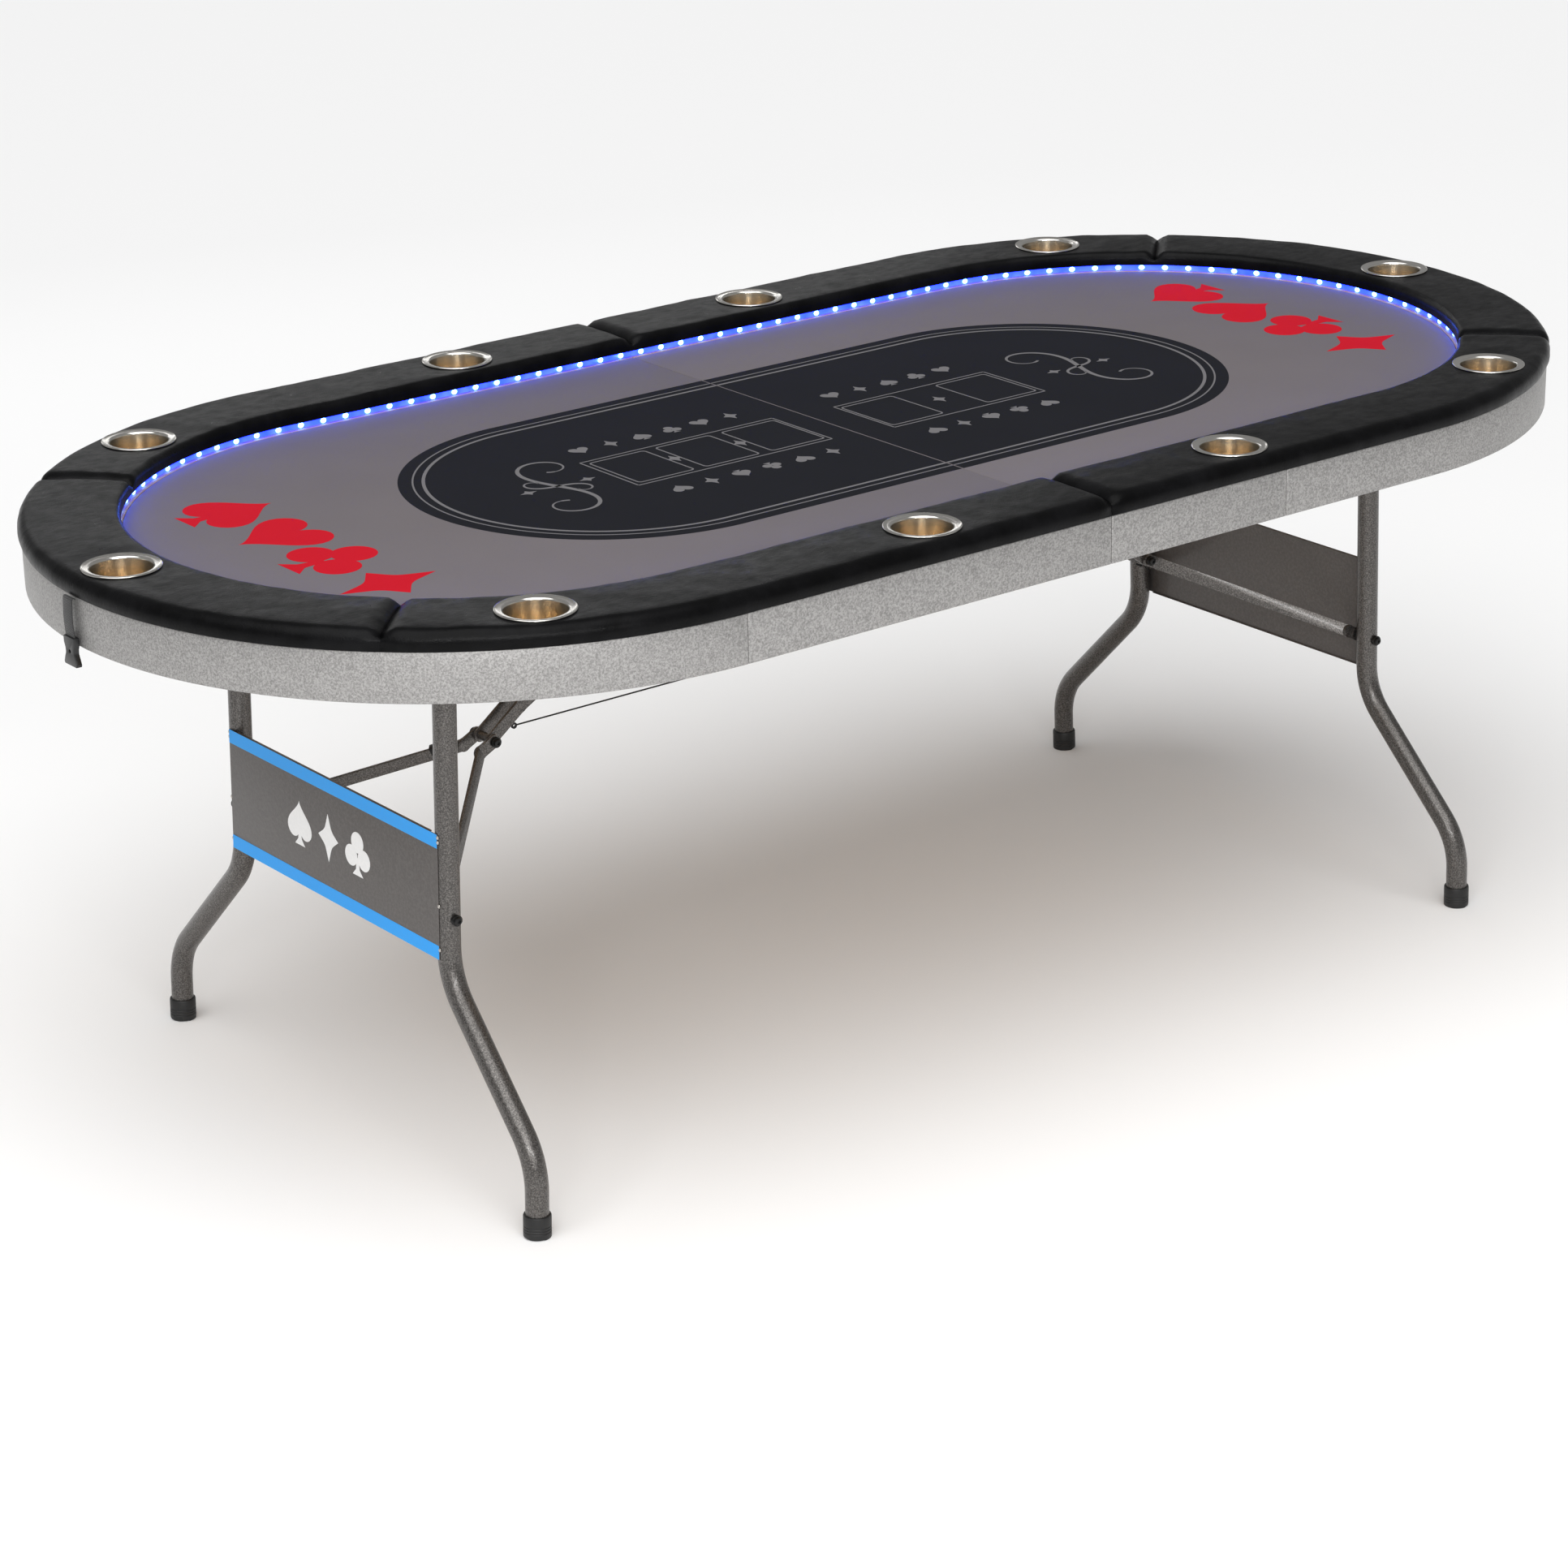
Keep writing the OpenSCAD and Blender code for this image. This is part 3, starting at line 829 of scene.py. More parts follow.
    def bore(self, piece: bpy.types.Object, at: Flat) -> None:
        """Cuts the hole for one cup."""
        bpy.ops.mesh.primitive_cylinder_add(vertices=64, radius=0.0385, depth=0.12, location=(*at, self.plan.top))
        tool = bpy.context.object
        self.shop.settle(tool)
        self.shop.modify(piece, "BOOLEAN", operation="DIFFERENCE", object=tool, solver="EXACT")
        bpy.data.objects.remove(tool)

    def build(self) -> None:
        """Builds and places the six pads."""
        for side in Side:
            for kind in ("near", "end", "far"):
                piece = self.pad(kind, side)
                self.shop.place(piece, side.body("half"), "vinyl", "vinyl", [f"rail_pad_{kind}_{side.tag}"])


@dataclass
class CupHolders:
    """Ten spun steel cups with rolled flanges."""

    shop: Workshop
    plan: Plan
    bore: float = 0.0355
    flange: float = 0.046
    depth: float = 0.058
    wall: float = 0.0008

    def profile(self) -> list[Flat]:
        """The cup's closed section, from the middle of its underside to the middle of its floor."""
        top, rim = 0.0, self.flange - 0.0012
        points: list[Flat] = [(0.0, -self.depth), (self.bore - 0.003, -self.depth)]
        outer = self.bore + self.wall
        points += [(outer - 0.0012, -self.depth + 0.001), (outer, -self.depth + 0.004)]
        points += [(self.bore + self.wall, -0.004), (self.bore + 0.0022, -0.0016), (rim, -0.0015)]
        for i in range(1, 7):
            a = math.radians(-90 + 30 * i)
            points.append((rim + 0.0012 * math.cos(a), -0.0004 + 0.0011 * math.sin(a)))
        points += [(rim - 0.0015, top - 0.0001), (self.bore + 0.0045, top - 0.0003)]
        for i in range(7):
            a = math.radians(90 + 15 * i)
            points.append((self.bore + 0.0030 + 0.0030 * math.cos(a), -0.0034 + 0.0030 * math.sin(a)))
        points += [(self.bore, -self.depth + 0.006)]
        for i in range(1, 7):
            a = math.radians(-15 * i)
            points.append((self.bore - 0.0045 + 0.0045 * math.cos(a), -self.depth + 0.006 + 0.0045 * math.sin(a)))
        points += [(self.bore * 0.6, -self.depth + 0.0014), (0.0, -self.depth + 0.0014)]
        return points

    def build(self) -> None:
        """Turns the cups of each half as one piece each."""
        for side in Side:
            cups = [
                self.shop.turned(f"cup_{i}", self.profile(), (side.sign * x, y, self.plan.top), (0, 0, 1), 64)
                for i, (x, y) in enumerate(self.plan.cups())
            ]
            piece = self.shop.join(cups, side.body("spun_cups"))
            self.shop.place(piece, side.body("half"), "cup_steel", "cup_steel", [side.body("cup_holders")])


class Suit(Enum):
    """Card suits, used for generic ornaments."""

    HEART = "heart"
    DIAMOND = "diamond"
    SPADE = "spade"
    CLUB = "club"


@dataclass
class Outlines:
    """Closed outlines of the printed shapes, about the origin."""

    def stadium(self, half_length: float, half_width: float, n: int = 128) -> list[Flat]:
        """An oval with straight sides."""
        shift = half_length - half_width
        points = []
        for i in range(n):
            a = 2 * math.pi * (i + 0.5) / n
            x = half_width * math.cos(a) + math.copysign(shift, math.cos(a))
            points.append((x, half_width * math.sin(a)))
        return points

    def box(self, half_x: float, half_y: float, r: float, n: int = 6) -> list[Flat]:
        """A rectangle with round corners."""
        points = []
        for k, (sx, sy) in enumerate(((1, 1), (-1, 1), (-1, -1), (1, -1))):
            for i in range(n + 1):
                a = math.radians(90 * (k + i / n))
                points.append((sx * (half_x - r) + r * math.cos(a), sy * (half_y - r) + r * math.sin(a)))
        return points

    def heart(self, size: float, n: int = 48) -> list[Flat]:
        """A heart, size across, pointing to -Y."""
        k = size / 32
        points = []
        for i in range(n):
            t = 2 * math.pi * i / n
            y = 13 * math.cos(t) - 5 * math.cos(2 * t) - 2 * math.cos(3 * t) - math.cos(4 * t)
            points.append((k * 16 * math.sin(t) ** 3, k * (y + 2)))
        return points

    def star(self, size: float, n: int = 10) -> list[Flat]:
        """A diamond with sides that curve in."""
        points = []
        for k in range(4):
            for i in range(n):
                t = i / n
                a, b = math.radians(90 * k), math.radians(90 * (k + 1))
                reach = size / 2
                sx, sy = (reach * 0.72, reach)
                p = ((1 - t) * math.cos(a) + t * math.cos(b), (1 - t) * math.sin(a) + t * math.sin(b))
                pull = 1 - 0.28 * math.sin(math.pi * t)
                points.append((sx * p[0] * pull, sy * p[1] * pull))
        return points

    def disc(self, r: float, at: Flat, n: int = 32) -> list[Flat]:
        """A circle."""
        angles = [2 * math.pi * i / n for i in range(n)]
        return [(at[0] + r * math.cos(a), at[1] + r * math.sin(a)) for a in angles]

    def stem(self, size: float) -> list[Flat]:
        """The flared foot of a spade or a club."""
        w = size
        return [(-0.2 * w, -0.5 * w), (0.2 * w, -0.5 * w), (0.07 * w, -0.36 * w), (0.035 * w, -0.1 * w),
                (-0.035 * w, -0.1 * w), (-0.07 * w, -0.36 * w)]

    def suit(self, suit: Suit, size: float) -> list[list[Flat]]:
        """The outlines that make one suit, size across."""
        if suit is Suit.HEART:
            return [self.heart(size)]
        if suit is Suit.DIAMOND:
            return [self.star(size * 1.08)]
        if suit is Suit.SPADE:
            return [[(-x, -y + 0.06 * size) for x, y in self.heart(size * 0.95)], self.stem(size)]
        r = 0.235 * size
        spots = [(0.0, 0.24 * size), (0.245 * size, -0.1 * size), (-0.245 * size, -0.1 * size)]
        return [self.disc(r, spot) for spot in spots] + [self.stem(size)]


@dataclass
class PlayingSurface:
    """Felt with its printed layout: an oval, border lines, card frames and generic ornaments."""

    shop: Workshop
    plan: Plan
    outlines: Outlines = field(default_factory=Outlines)
    oval: Flat = (0.592, 0.262)
    ink: float = 0.00015
    end_half: float = 0.0599
    seam_gap: float = 0.0012

    def moved(self, outline: Sequence[Flat], at: Flat, turn: float = 0.0) -> list[Flat]:
        """An outline turned by degrees and then moved."""
        c, s = math.cos(math.radians(turn)), math.sin(math.radians(turn))
        return [(at[0] + c * x - s * y, at[1] + s * x + c * y) for x, y in outline]

    def suits(self, suits: Sequence[Suit], size: float, spots: Sequence[Flat], turn: float, level: int) -> list:
        """Plates for a row of suits."""
        plates = []
        for suit, spot in zip(suits, spots):
            for i, outline in enumerate(self.outlines.suit(suit, size)):
                z = self.plan.felt + self.ink * level + 0.00002 * i
                plates.append(self.shop.plate("mark", self.moved(outline, spot, turn), z, self.ink))
        return plates

    def line(self, x0: float, x1: float, y: float, width: float, level: int = 2) -> bpy.types.Object:
        """A straight printed line along X."""
        h = width / 2
        z = self.plan.felt + self.ink * level
        return self.shop.plate("line", [(x0, y - h), (x1, y - h), (x1, y + h), (x0, y + h)], z, self.ink)

    def frame(self, at: Flat, half: Flat, width: float) -> bpy.types.Object:
        """A printed card frame."""
        outer = self.moved(self.outlines.box(*half, 0.006), at)
        inner = self.moved(self.outlines.box(half[0] - width, half[1] - width, 0.0045), at)
        return self.shop.band("frame", outer, inner, self.plan.felt + self.ink * 2, self.ink)

    def border(self, inset: float, width: float) -> bpy.types.Object:
        """One printed line inside the oval's edge, cut later to each half."""
        a, b = self.oval
        outer = self.outlines.stadium(a - inset, b - inset)
        inner = self.outlines.stadium(a - inset - width, b - inset - width)
        return self.shop.band("border", outer, inner, self.plan.felt + self.ink * 2, self.ink)

    def flourish(self, at: Flat, flip: int) -> list[bpy.types.Object]:
        """A generic scroll: an S that curls in at both ends, a smaller one across it, and two pips."""
        plates = []
        for size, lean, reach, width in ((0.104, 70, 2.0, 0.0036), (0.042, 6, 1.8, 0.0026)):
            plates.append(self.stroke(self.curl(at, size, math.radians(lean), reach, width, flip)))
        for x in (-0.043, 0.043):
            plates += self.suits([Suit.DIAMOND], 0.022, [(at[0] + x, at[1])], 90, 3)
        return plates

    def curl(
        self, at: Flat, size: float, lean: float, reach: float, width: float, flip: int
    ) -> list[tuple[float, float, float]]:
        """An S whose bend grows evenly towards both ends, as (x, y, half width) points."""
        n = 90
        arm: list[tuple[float, float, float]] = []
        x = y = 0.0
        for i in range(n + 1):
            s = reach * i / n
            half = width * (0.16 + 0.84 * (1 - i / n) ** 0.8) if i < n - 4 else width * 0.5
            arm.append((x, y, half))
            bend = 1.45 * s * s
            x += math.cos(bend) * reach / n
            y += math.sin(bend) * reach / n
        whole = [(-x, -y, half) for x, y, half in reversed(arm[1:])] + arm
        c, s = math.cos(lean), math.sin(lean)
        return [
            (at[0] + flip * size * (c * x - s * y), at[1] + size * (s * x + c * y), half) for x, y, half in whole
        ]

    def stroke(self, path: Sequence[tuple[float, float, float]]) -> bpy.types.Object:
        """A brush stroke through (x, y, half width) points."""
        left, right = [], []
        for i, (x, y, half) in enumerate(path):
            ax, ay, _ = path[max(0, i - 1)]
            bx, by, _ = path[min(len(path) - 1, i + 1)]
            length = math.hypot(bx - ax, by - ay) or 1.0
            nx, ny = -(by - ay) / length, (bx - ax) / length
            left.append((x + nx * half, y + ny * half))
            right.append((x - nx * half, y - ny * half))
        z, n = self.plan.felt + self.ink * 2, len(path)
        points = [(x, y, z) for x, y in left + right] + [(x, y, z - self.ink) for x, y in left + right]
        faces = []
        for i in range(n - 1):
            j = i + 1
            faces.append((i, j, n + j, n + i))
            faces.append((2 * n + i, 3 * n + i, 3 * n + j, 2 * n + j))
            faces.append((i, 2 * n + i, 2 * n + j, j))
            faces.append((n + i, n + j, 3 * n + j, 3 * n + i))
        faces += [(0, n, 3 * n, 2 * n), (n - 1, 3 * n - 1, 4 * n - 1, 2 * n - 1)]
        piece = self.shop.from_points("stroke", points, faces)
        self.shop.mend(piece)
        return piece

    def caption_row(self, x0: float, x1: float, y: float, turn: float) -> list[bpy.types.Object]:
        """A row of small suits where a layout has its captions, read from one side of the table."""
        n = max(3, round((x1 - x0) / 0.046))
        row = [list(Suit)[i % 4] for i in range(n)]
        spots = [(x0 + (x1 - x0) * (i + 0.5) / n, y) for i in range(n)]
        return self.suits(row, 0.027, spots, turn, 3)

    def layout(self, side: Side) -> list[bpy.types.Object]:
        """The grey print of one half."""
        prints = [self.border(0.017, 0.0022), self.border(0.029, 0.0042)]
        for piece in prints:
            self.shop.cut(piece, side, self.seam_gap)
        if side is Side.A:
            centre, xs, ends, gaps = 0.002, (-0.288, -0.188, -0.086), (-0.337, -0.04), (-0.238, -0.137)
        else:
            centre, xs, ends, gaps = -0.01, (0.096, 0.252), (0.05, 0.3), (0.174,)
        for y in (centre + 0.061, centre - 0.061):
            prints.append(self.line(*ends, y, 0.0022))
        for x in xs:
            prints.append(self.frame((x, centre), (0.0425, 0.0535), 0.0022))
        for x in ends:
            prints.append(self.frame_end(x, centre))
        prints += self.suits([Suit.DIAMOND] * len(gaps), 0.026, [(x, centre) for x in gaps], 0, 3)
        reach = (ends[0] + 0.008, ends[1] - 0.01)
        prints += self.caption_row(*reach, centre + 0.104, 0)
        prints += self.caption_row(*reach, centre - 0.104, 180)
        prints += self.flourish((side.sign * 0.412, centre), side.sign)
        return prints

    def frame_end(self, x: float, centre: float) -> bpy.types.Object:
        """The short line that closes the card frames at one end."""
        h = 0.0011
        z = self.plan.felt + self.ink * 2
        low, high = centre - self.end_half, centre + self.end_half
        outline = [(x - h, low), (x + h, low), (x + h, high), (x - h, high)]
        return self.shop.plate("end_line", outline, z, self.ink)

    def build(self) -> None:
        """Builds the felt and the prints of both halves."""
        row = [Suit.SPADE, Suit.HEART, Suit.CLUB, Suit.DIAMOND]
        for side in Side:
            body = side.body("half")
            self.shop.refine(side.body("felt"), body, 0.0011)
            edge, level = self.outlines.stadium(*self.oval), self.plan.felt + self.ink
            oval = self.shop.plate("oval", edge, level, self.ink * 1.6)
            self.shop.cut(oval, side, self.seam_gap)
            oval.name = side.body("felt_oval")
            self.shop.place(oval, body, "oval", "felt")
            lines = self.shop.join(self.layout(side), side.body("felt_lines"))
            self.shop.place(lines, body, "lines", "felt")
            spots = [(side.sign * 0.768, 0.173 - 0.1155 * i) for i in range(4)]
            marks = self.suits(row, 0.118, spots, 90 * side.sign, 1)
            emblem = self.shop.join(marks, side.body("felt_emblem"))
            self.shop.place(emblem, body, "emblem", "felt")


@dataclass
class LightStrip:
    """The lit tape under the rail's inner lip, with its lenses."""

    shop: Workshop
    plan: Plan
    count: int = 72

    def build(self) -> None:
        """Dresses the tape and sets a small dome on every chip."""
        radius = self.plan.radius - self.plan.rail + 0.0061
        z = self.plan.felt + 0.0045
        arc = math.pi * radius
        total = 2 * self.plan.centre + arc
        for side in Side:
            body = side.body("half")
            bpy.ops.mesh.primitive_uv_sphere_add(segments=8, ring_count=6, radius=0.0034)
            seed = bpy.context.object
            bpy.ops.transform.resize(value=(0.7, 1.25, 1.0))
            self.shop.settle(seed)
            lenses = []
            for i in range(self.count):
                s = (i + 0.5) * total / self.count
                if s < self.plan.centre:
                    a, x = -90.0, s
                elif s < self.plan.centre + arc:
                    a, x = -90 + math.degrees((s - self.plan.centre) / radius), self.plan.centre
                else:
                    a, x = 90.0, total - s
                lens = bpy.data.objects.new("lens", seed.data.copy())
                bpy.context.collection.objects.link(lens)
                turn = math.radians(a)
                spot = Vector((side.sign * (x + radius * math.cos(turn)), radius * math.sin(turn), z))
                spin = turn if side is Side.B else math.pi - turn
                lens.data.transform(Matrix.Translation(spot) @ Matrix.Rotation(spin, 4, "Z"))
                lenses.append(lens)
            bpy.data.objects.remove(seed)
            piece = self.shop.join(lenses, side.body("led_domes"))
            self.shop.smooth(piece, 80)
            self.shop.place(piece, body, "led_lens", "led_lens", [side.body("leds")])
            self.shop.refine(side.body("led_strip"), body, 0.0003, "led_tape", 1)


@dataclass
class CaseWork:
    """Aprons, decks, rail bases, cross beams, hinges and brackets."""

    shop: Workshop

    def build(self) -> None:
        """Eases every edge of the boards and the hardware."""
        for side in Side:
            body = side.body("half")
            for stem in ("apron_near", "apron_end", "apron_far"):
                self.shop.refine(side.body(stem), body, 0.0014)
            for stem in ("deck", "rail_base", "cross_beam"):
                self.shop.refine(side.body(stem), body, 0.0005, None, 1)
            for stem in ("hinge_leaves", "leg_brackets"):
                self.shop.refine(side.body(stem), body, 0.0004, None, 1)
        self.shop.refine("hinge_pins", "half_a", 0.0004)
        self.shop.refine("control_box", "half_a", 0.0015)
        self.shop.refine("switch_button", "switch_button", 0.0008)


# ---------------------------------------------------------------- legs


@dataclass
class LegFrame:
    """One leg frame: bent tubes, crossbar, panel, feet, bolts and braces."""

    shop: Workshop
    side: Side
    pivot: Flat = (0.732, 0.700)
    lean: float = math.radians(1.9)
    tube: float = 0.014
    tube_y: float = 0.226
    upper: float = 0.400
    bend: float = 0.090
    slant: float = 0.168
    panel_top: float = 0.258
    panel_height: float = 0.154
    stripe: float = 0.017

    def at(self, x: float, y: float, z: float) -> Point:
        """A point of the leg's own frame, pivot at its origin, outside towards +X."""
        c, s = math.cos(self.lean), math.sin(self.lean)
        wx = self.pivot[0] + c * x - s * z
        wz = self.pivot[1] + s * x + c * z
        return (self.side.sign * wx, y, wz)

    def leg_path(self, flip: int) -> list[Point]:
        """The centre line of one bent leg, from its top to its foot."""
        half = math.radians(45)
        y, z = self.tube_y, -self.upper
        flat = [(self.tube_y, 0.007), (y, z)]
        steps = 12
        for i in range(1, steps + 1):
            a = half * i / steps
            flat.append((y + self.bend * (1 - math.cos(a)), z - self.bend * math.sin(a)))
        y, z = flat[-1]
        y, z = y + self.slant * math.sin(half), z - self.slant * math.cos(half)
        flat.append((y, z))
        for i in range(1, steps + 1):
            a = half * (1 - i / steps)
            flat.append((y + self.bend * (math.cos(a) - math.cos(half)), z - self.bend * (math.sin(half) - math.sin(a))))
        y, _ = flat[-1]
        flat.append((y, -self.pivot[1] / math.cos(self.lean) + 0.004))
        return [self.at(0, flip * y, z) for y, z in flat]

    def foot(self, flip: int) -> bpy.types.Object:
        """A ribbed rubber cap with a flat sole."""
        y = self.leg_path(1)[-1][1] * flip
        profile: list[Flat] = [(0.0, 0.0), (0.0145, 0.0), (0.0163, 0.0012), (0.0165, 0.003)]
        for i in range(3):
            h = 0.007 + 0.0035 * i
            profile += [(0.0165, h), (0.0160, h + 0.0006), (0.0165, h + 0.0012)]
        profile += [(0.0165, 0.0262), (0.0158, 0.0278), (0.01415, 0.028), (0.01415, 0.010), (0.0, 0.010)]
        low = self.at(0, y, -self.pivot[1] / math.cos(self.lean))
        high = self.at(0, y, -self.pivot[1] / math.cos(self.lean) + 0.03)
        axis = tuple(b - a for a, b in zip(low, high))
        piece = self.shop.turned("cap", profile, low, axis, 40)
        for vertex in piece.data.vertices:
            if vertex.co.z < 0.0025:
                vertex.co.z = max(0.0, vertex.co.z if vertex.co.z > 0.0012 else 0.0)
        return piece

    def print_plate(self, name: str, outline: Sequence[Flat], out: float, thick: float) -> bpy.types.Object:
        """A thin plate on the outside of the panel, from an outline in (y, z) of the leg's frame."""
        piece = self.shop.plate(name, outline, thick, thick)
        for vertex in piece.data.vertices:
            y, z, h = vertex.co
            vertex.co = self.at(out + h, y, z)
        self.shop.mend(piece)
        return piece

    def panel(self) -> None:
        """The panel, its two blue stripes, its generic mark and the weld beads."""
        shop, body = self.shop, self.side.body("leg")
        shop.refine(self.side.body("leg_panel"), body, 0.0004, None, 2)
        face = self.tube + 0.00122
        top, low = -self.panel_top, -self.panel_top - self.panel_height
        reach = self.tube_y + 0.0018
        stripes = []
        for z0 in (top - self.stripe - 0.0002, low + 0.0002):
            outline = [(-reach, z0), (reach, z0), (reach, z0 + self.stripe), (-reach, z0 + self.stripe)]
            stripes.append(self.print_plate("stripe", outline, face, 0.0002))
        piece = shop.join(stripes, self.side.body("panel_stripes"))
        shop.place(piece, body, "stripe", "panel_paint")
        shapes = Outlines()
        marks = []
        middle = (top + low) / 2 + 0.002
        for i, suit in enumerate((Suit.SPADE, Suit.DIAMOND, Suit.CLUB)):
            for k, outline in enumerate(shapes.suit(suit, 0.056)):
                moved = [(-y + 0.064 * (1 - i) + 0.006, z + middle) for y, z in outline]
                marks.append(self.print_plate("mark", moved, face, 0.0002 + 0.00003 * k))
        piece = shop.join(marks, self.side.body("panel_mark"))
        shop.place(piece, body, "white_print", "panel_paint")
        beads = []
        for flip in (-1, 1):
            for z in (top - 0.004, top - 0.010, low + 0.012, low + 0.066):
                bpy.ops.mesh.primitive_ico_sphere_add(subdivisions=2, radius=0.0022)
                bead = bpy.context.object
                spot = self.at(self.tube + 0.0004, flip * (self.tube_y + 0.0022), z)
                for vertex in bead.data.vertices:
                    vertex.co = Vector(spot) + Vector((vertex.co.x * 0.6, vertex.co.y, vertex.co.z * 1.2))
                beads.append(bead)
        piece = shop.join(beads, self.side.body("panel_welds"))
        shop.smooth(piece, 80)
        shop.place(piece, body, "weld", "frame_paint")

    def bolt(self, at: Point, flip: int, r: float) -> bpy.types.Object:
        """A domed bolt head with a socket, on a washer, pointing away from the middle."""
        profile: list[Flat] = [(0.0, -0.0004), (r * 1.25, -0.0004), (r * 1.3, 0.0002)]
        profile += [(r * 1.25, 0.0009), (r, 0.0009)]
        profile += [(r, 0.002), (r * 0.86, 0.0034), (r * 0.6, 0.0039)]
        profile += [(r * 0.42, 0.0039), (r * 0.36, 0.0022), (0.0, 0.0019)]
        return self.shop.turned("bolt", profile, at, (0, flip, 0), 24)

    def build(self) -> None:
        """Builds and places every piece of the frame and its braces."""
        shop, side = self.shop, self.side
        leg = side.body("leg")
        tubes = [shop.swept("tube", self.leg_path(flip), self.tube, 32) for flip in (-1, 1)]
        shop.place(shop.join(tubes, side.body("bent_legs")), leg, "frame_paint", None, [side.body("leg_tubes")])
        feet = [self.foot(flip) for flip in (-1, 1)]
        shop.place(shop.join(feet, side.body("rubber_feet")), leg, "rubber", None, [side.body("foot_caps")])
        shop.refine(side.body("crossbar"), leg, 0.0003, None, 1)
        self.panel()
        shop.refine(side.body("leg_bolts"), leg, 0.0006)
        bolts = [self.bolt(self.at(0, f * (self.tube_y + self.tube + 0.0042), -0.362), f, 0.0052) for f in (-1, 1)]
        shop.place(shop.join(bolts, side.body("leg_bolt_heads")), leg, "black_metal")
        lower = side.body("lower_fork")
        shop.refine(lower, lower, 0.0009)
        shop.refine(side.body("knee_bolts"), lower, 0.0006)
        low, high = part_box(side.body("knee_bolts"))
        x, z = (low[0] + high[0]) / 2, (low[2] + high[2]) / 2
        heads = [self.bolt((x, y, z), f, 0.0052) for y, f in ((high[1] + 0.0002, 1), (low[1] - 0.0002, -1))]
        shop.place(shop.join(heads, side.body("knee_bolt_heads")), lower, "black_metal")
        upper = side.body("upper_fork")
        shop.refine(upper, upper, 0.0009)
        clip = side.body("lock_clip")
        shop.refine(clip, clip, 0.0008)
        wire = side.body("tie_wire")
        shop.refine(wire, wire, 0.0001, None, 1)


@dataclass
class Strap:
    """A closing strap: ribbed webbing over its anchor and half of a side-release buckle."""

    shop: Workshop
    side: Side
    width: float = 0.020
    thick: float = 0.0014

    def build(self) -> None:
        """Builds the webbing and the buckle."""
        shop, side, body = self.shop, self.side, self.side.body("strap")
        low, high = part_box(side.body("strap_webbing"))
        middle = (low[1] + high[1]) / 2
        inner = min(abs(low[0]), abs(high[0])) + 0.0012
        path: list[Flat] = []
        for i in range(9):
            a = math.radians(170 - 21.25 * i)
            path.append((inner + 0.0022 * math.cos(a), high[2] - 0.0032 + 0.0022 * math.sin(a)))
        drop = high[2] - 0.0034 - low[2]
        for i in range(1, 13):
            t = i / 12
            path.append((inner + 0.0022 + 0.0012 * math.sin(math.pi * t), high[2] - 0.0034 - drop * t))
        points, faces = [], []
        for x, z in path:
            for y in (-self.width / 2, self.width / 2):
                points.append((side.sign * x, middle + y, z))
        for i in range(len(path) - 1):
            faces.append((2 * i, 2 * i + 1, 2 * i + 3, 2 * i + 2))
        piece = shop.from_points(side.body("ribbed_strap"), points, faces)
        shop.mend(piece)
        shop.modify(piece, "SOLIDIFY", thickness=self.thick, offset=0.0)
        shop.modify(piece, "BEVEL", width=0.0004, segments=2)
        shop.smooth(piece)
        shop.place(piece, body, "webbing", "webbing", [side.body("strap_webbing")])
        shop.place(self.buckle(), body, "buckle_plastic", "buckle_plastic", [side.body("strap_buckle")])

    def buckle(self) -> bpy.types.Object:
        """The buckle's moulded body: shoulders, waist, mouth and a round recess."""
        low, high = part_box(self.side.body("strap_buckle"))
        middle, top = (low[1] + high[1]) / 2, high[2]
        half = (high[1] - low[1]) / 2
        outline: list[Flat] = []
        stations = [(0.0, 0.80), (0.001, 0.88), (0.008, 0.86), (0.014, 0.68), (0.020, 0.66), (0.026, 0.86),
                    (0.031, 1.0), (0.0335, 0.96), (0.034, 0.90)]
        outline += [(middle - half * k, top - d) for d, k in stations]
        outline += [(middle + half * k, top - d) for d, k in reversed(stations)]
        thick = high[0] - low[0]
        points = [(x, y, z) for x in (low[0], high[0]) for y, z in outline]
        n = len(outline)
        faces: list[Sequence[int]] = [tuple(range(n)), tuple(n + i for i in reversed(range(n)))]
        faces += [(i, n + i, n + (i + 1) % n, (i + 1) % n) for i in range(n)]
        piece = self.shop.from_points(self.side.body("moulded_buckle"), points, faces)
        self.shop.mend(piece)
        bpy.ops.mesh.primitive_cylinder_add(
            vertices=24, radius=0.0022, depth=thick * 3, rotation=(0, math.pi / 2, 0),
            location=((low[0] + high[0]) / 2, middle, top - 0.017),
        )
        tool = bpy.context.object
        self.shop.settle(tool)
        self.shop.modify(piece, "BOOLEAN", operation="DIFFERENCE", object=tool, solver="EXACT")
        bpy.data.objects.remove(tool)
        self.shop.modify(
            piece, "BEVEL", width=0.0010, segments=3, limit_method="ANGLE", angle_limit=math.radians(30)
        )
        self.shop.smooth(piece, 40)
        return piece


# ---------------------------------------------------------------- studio


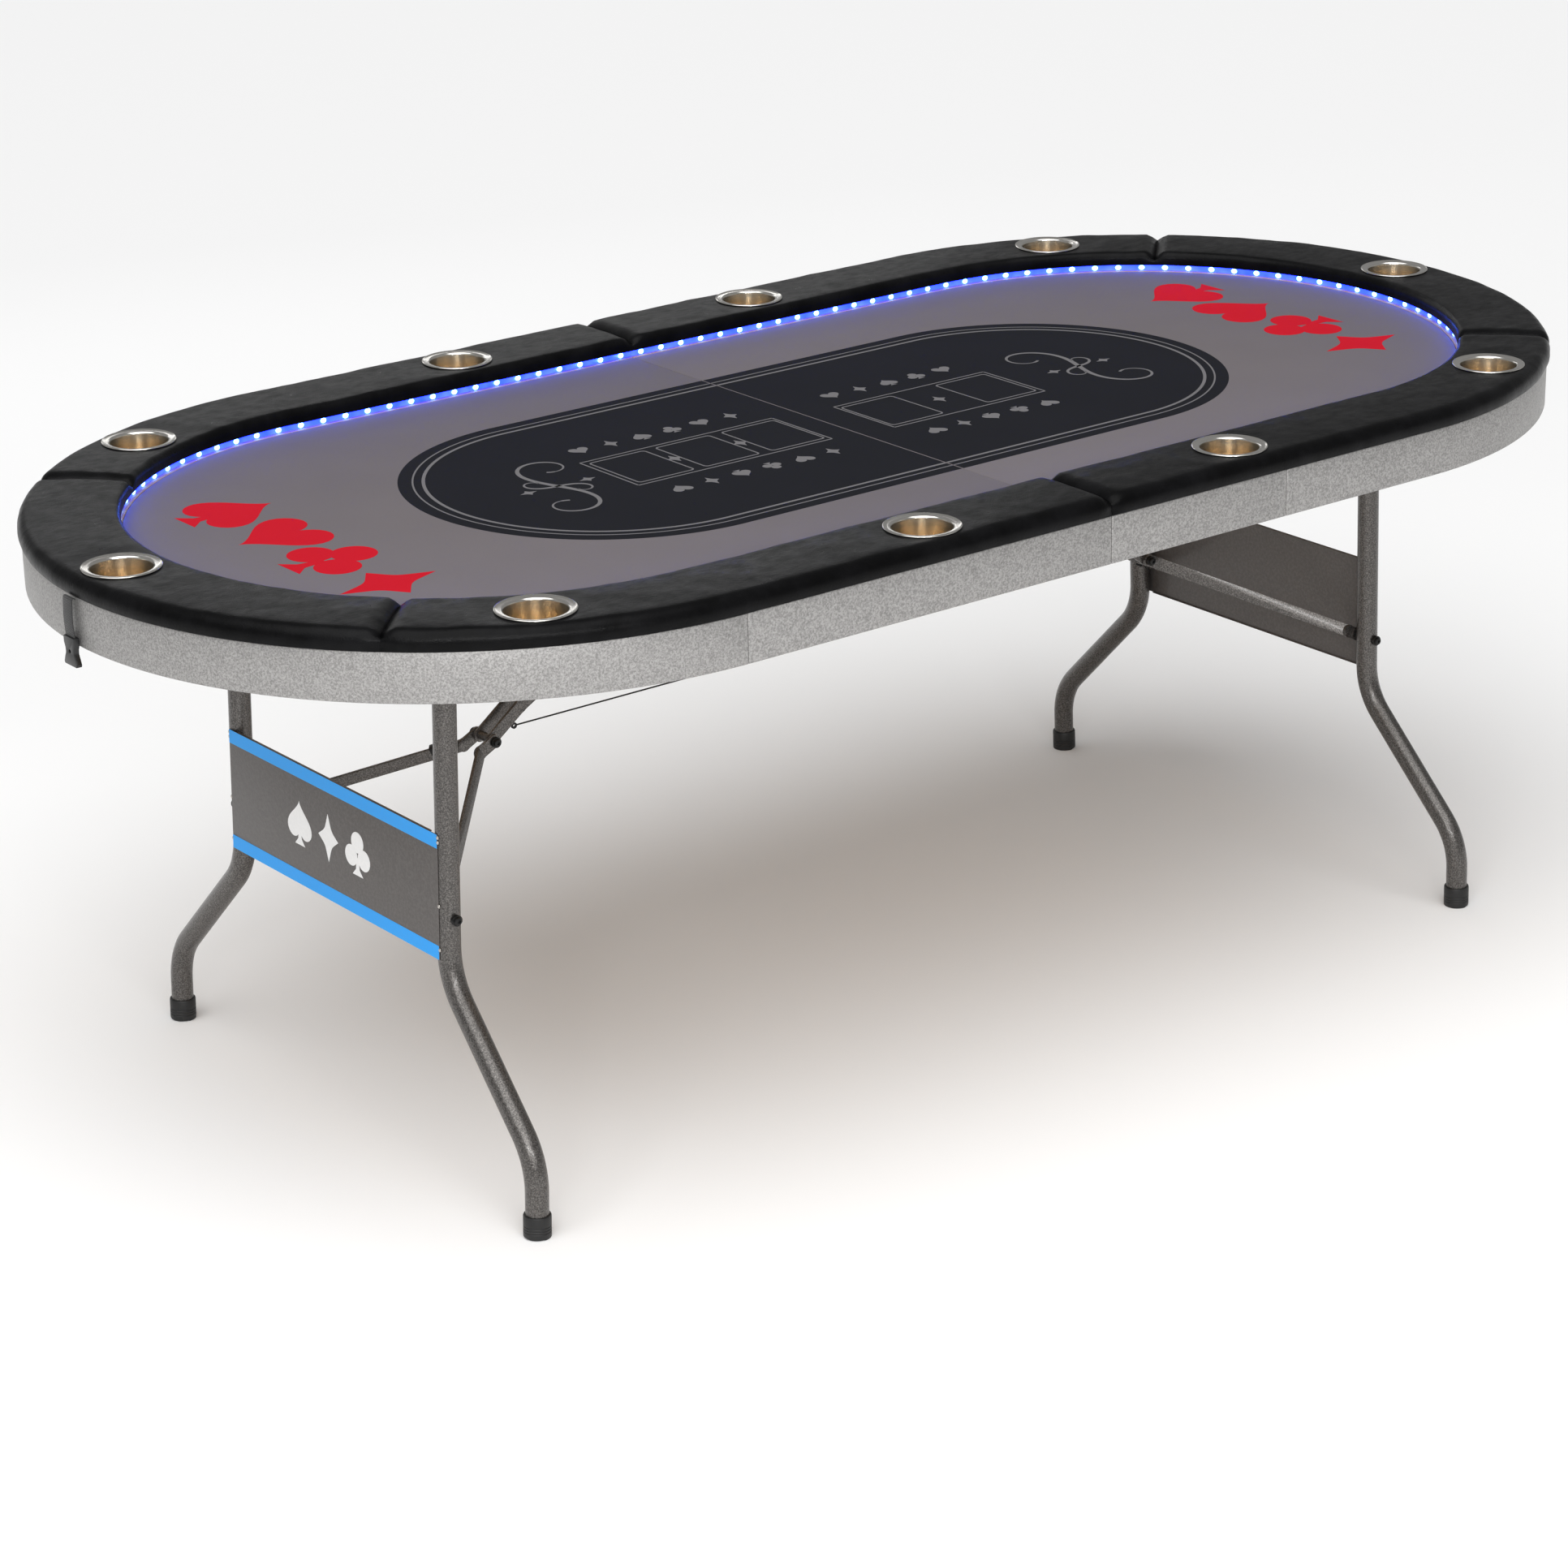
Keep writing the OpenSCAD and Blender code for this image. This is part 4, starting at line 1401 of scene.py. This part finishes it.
@dataclass
class Studio:
    """Pale floor, soft light and the camera."""

    eye: Point = (-3.134, -3.961, 2.198)
    turn: Point = (68.890, 1.015, -38.022)
    focal: float = 95.87
    sensor: float = 36.0
    fill: float = 0.27

    def floor(self) -> None:
        """A wide pale floor under the feet."""
        bpy.ops.mesh.primitive_plane_add(size=60, location=(0, 0, -0.0003))
        floor = bpy.context.object
        floor.name = "floor"
        shader = Shader("pale_floor")
        shader.set(Base_Color=(0.93, 0.93, 0.93), Roughness=0.7, Specular_IOR_Level=0.1)
        floor.data.materials.append(shader.material)

    def light(self, name: str, at: Point, aim: Point, size: Flat, power: float) -> None:
        """A soft rectangular light.

        Args:
            name: the light's name.
            at: its place.
            aim: the point it faces.
            size: its width and height in metres.
            power: its power in watts.
        """
        data = bpy.data.lights.new(name, "AREA")
        data.shape = "RECTANGLE"
        data.size, data.size_y = size
        data.energy = power
        lamp = bpy.data.objects.new(name, data)
        lamp.location = at
        lamp.rotation_euler = (Vector(aim) - Vector(at)).to_track_quat("-Z", "Y").to_euler()
        bpy.context.collection.objects.link(lamp)

    def sky(self) -> None:
        """A white backdrop whose light on the object is dimmer than it looks."""
        world = bpy.data.worlds.new("studio")
        bpy.context.scene.world = world
        world.use_nodes = True
        tree = world.node_tree
        sky = tree.nodes["Background"]
        sky.inputs[0].default_value = (1.0, 1.0, 1.0, 1.0)
        path = tree.nodes.new("ShaderNodeLightPath")
        level = tree.nodes.new("ShaderNodeMapRange")
        level.inputs["To Min"].default_value = self.fill
        level.inputs["To Max"].default_value = 1.0
        tree.links.new(path.outputs["Is Camera Ray"], level.inputs["Value"])
        tree.links.new(level.outputs[0], sky.inputs[1])

    def sun(self, at: Point, spread: float, power: float) -> None:
        """One very soft light from above, the same all over the floor.

        Args:
            at: the direction that it comes from.
            spread: its apparent size in degrees.
            power: its strength in watts per square metre.
        """
        data = bpy.data.lights.new("overhead", "SUN")
        data.angle = math.radians(spread)
        data.energy = power
        lamp = bpy.data.objects.new("overhead", data)
        lamp.rotation_euler = (-Vector(at)).to_track_quat("-Z", "Y").to_euler()
        bpy.context.collection.objects.link(lamp)

    def build(self) -> None:
        """Sets the floor, the sky, the lights and the camera."""
        self.floor()
        self.sky()
        bpy.context.scene.view_settings.view_transform = "Standard"
        self.sun((-1.2, -1.0, 3.2), 70, 2.5)
        self.light("key", (-2.2, -3.2, 1.9), (-0.3, -0.3, 0.6), (3.0, 0.22), 60)
        self.light("back", (1.2, 3.4, 1.9), (0, 0, 0.7), (3.2, 0.3), 7)
        data = bpy.data.cameras.new("camera")
        data.sensor_width = self.sensor
        data.lens = self.focal
        data.clip_end = 200
        camera = bpy.data.objects.new("camera", data)
        camera.location = self.eye
        camera.rotation_euler = [math.radians(a) for a in self.turn]
        bpy.context.collection.objects.link(camera)
        bpy.context.scene.camera = camera


def main() -> None:
    """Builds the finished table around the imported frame."""
    logging.basicConfig(level=logging.INFO, format="%(name)s: %(message)s")
    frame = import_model()
    Studio().build()
    shop = Workshop(Palette(), frame)
    low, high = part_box("cup_holders_a")
    rail_low, rail_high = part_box("rail_pad_end_b")
    near_low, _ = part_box("rail_pad_near_b")
    felt_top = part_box("felt_a")[1][2]
    plan = Plan(length=2 * rail_high[0], width=-2 * near_low[1], rail=0.120, top=high[2], felt=felt_top)
    PaddedRail(shop, plan).build()
    CupHolders(shop, plan).build()
    PlayingSurface(shop, plan).build()
    LightStrip(shop, plan).build()
    CaseWork(shop).build()
    for side in Side:
        LegFrame(shop, side).build()
        Strap(shop, side).build()


if __name__ == "__main__":
    main()
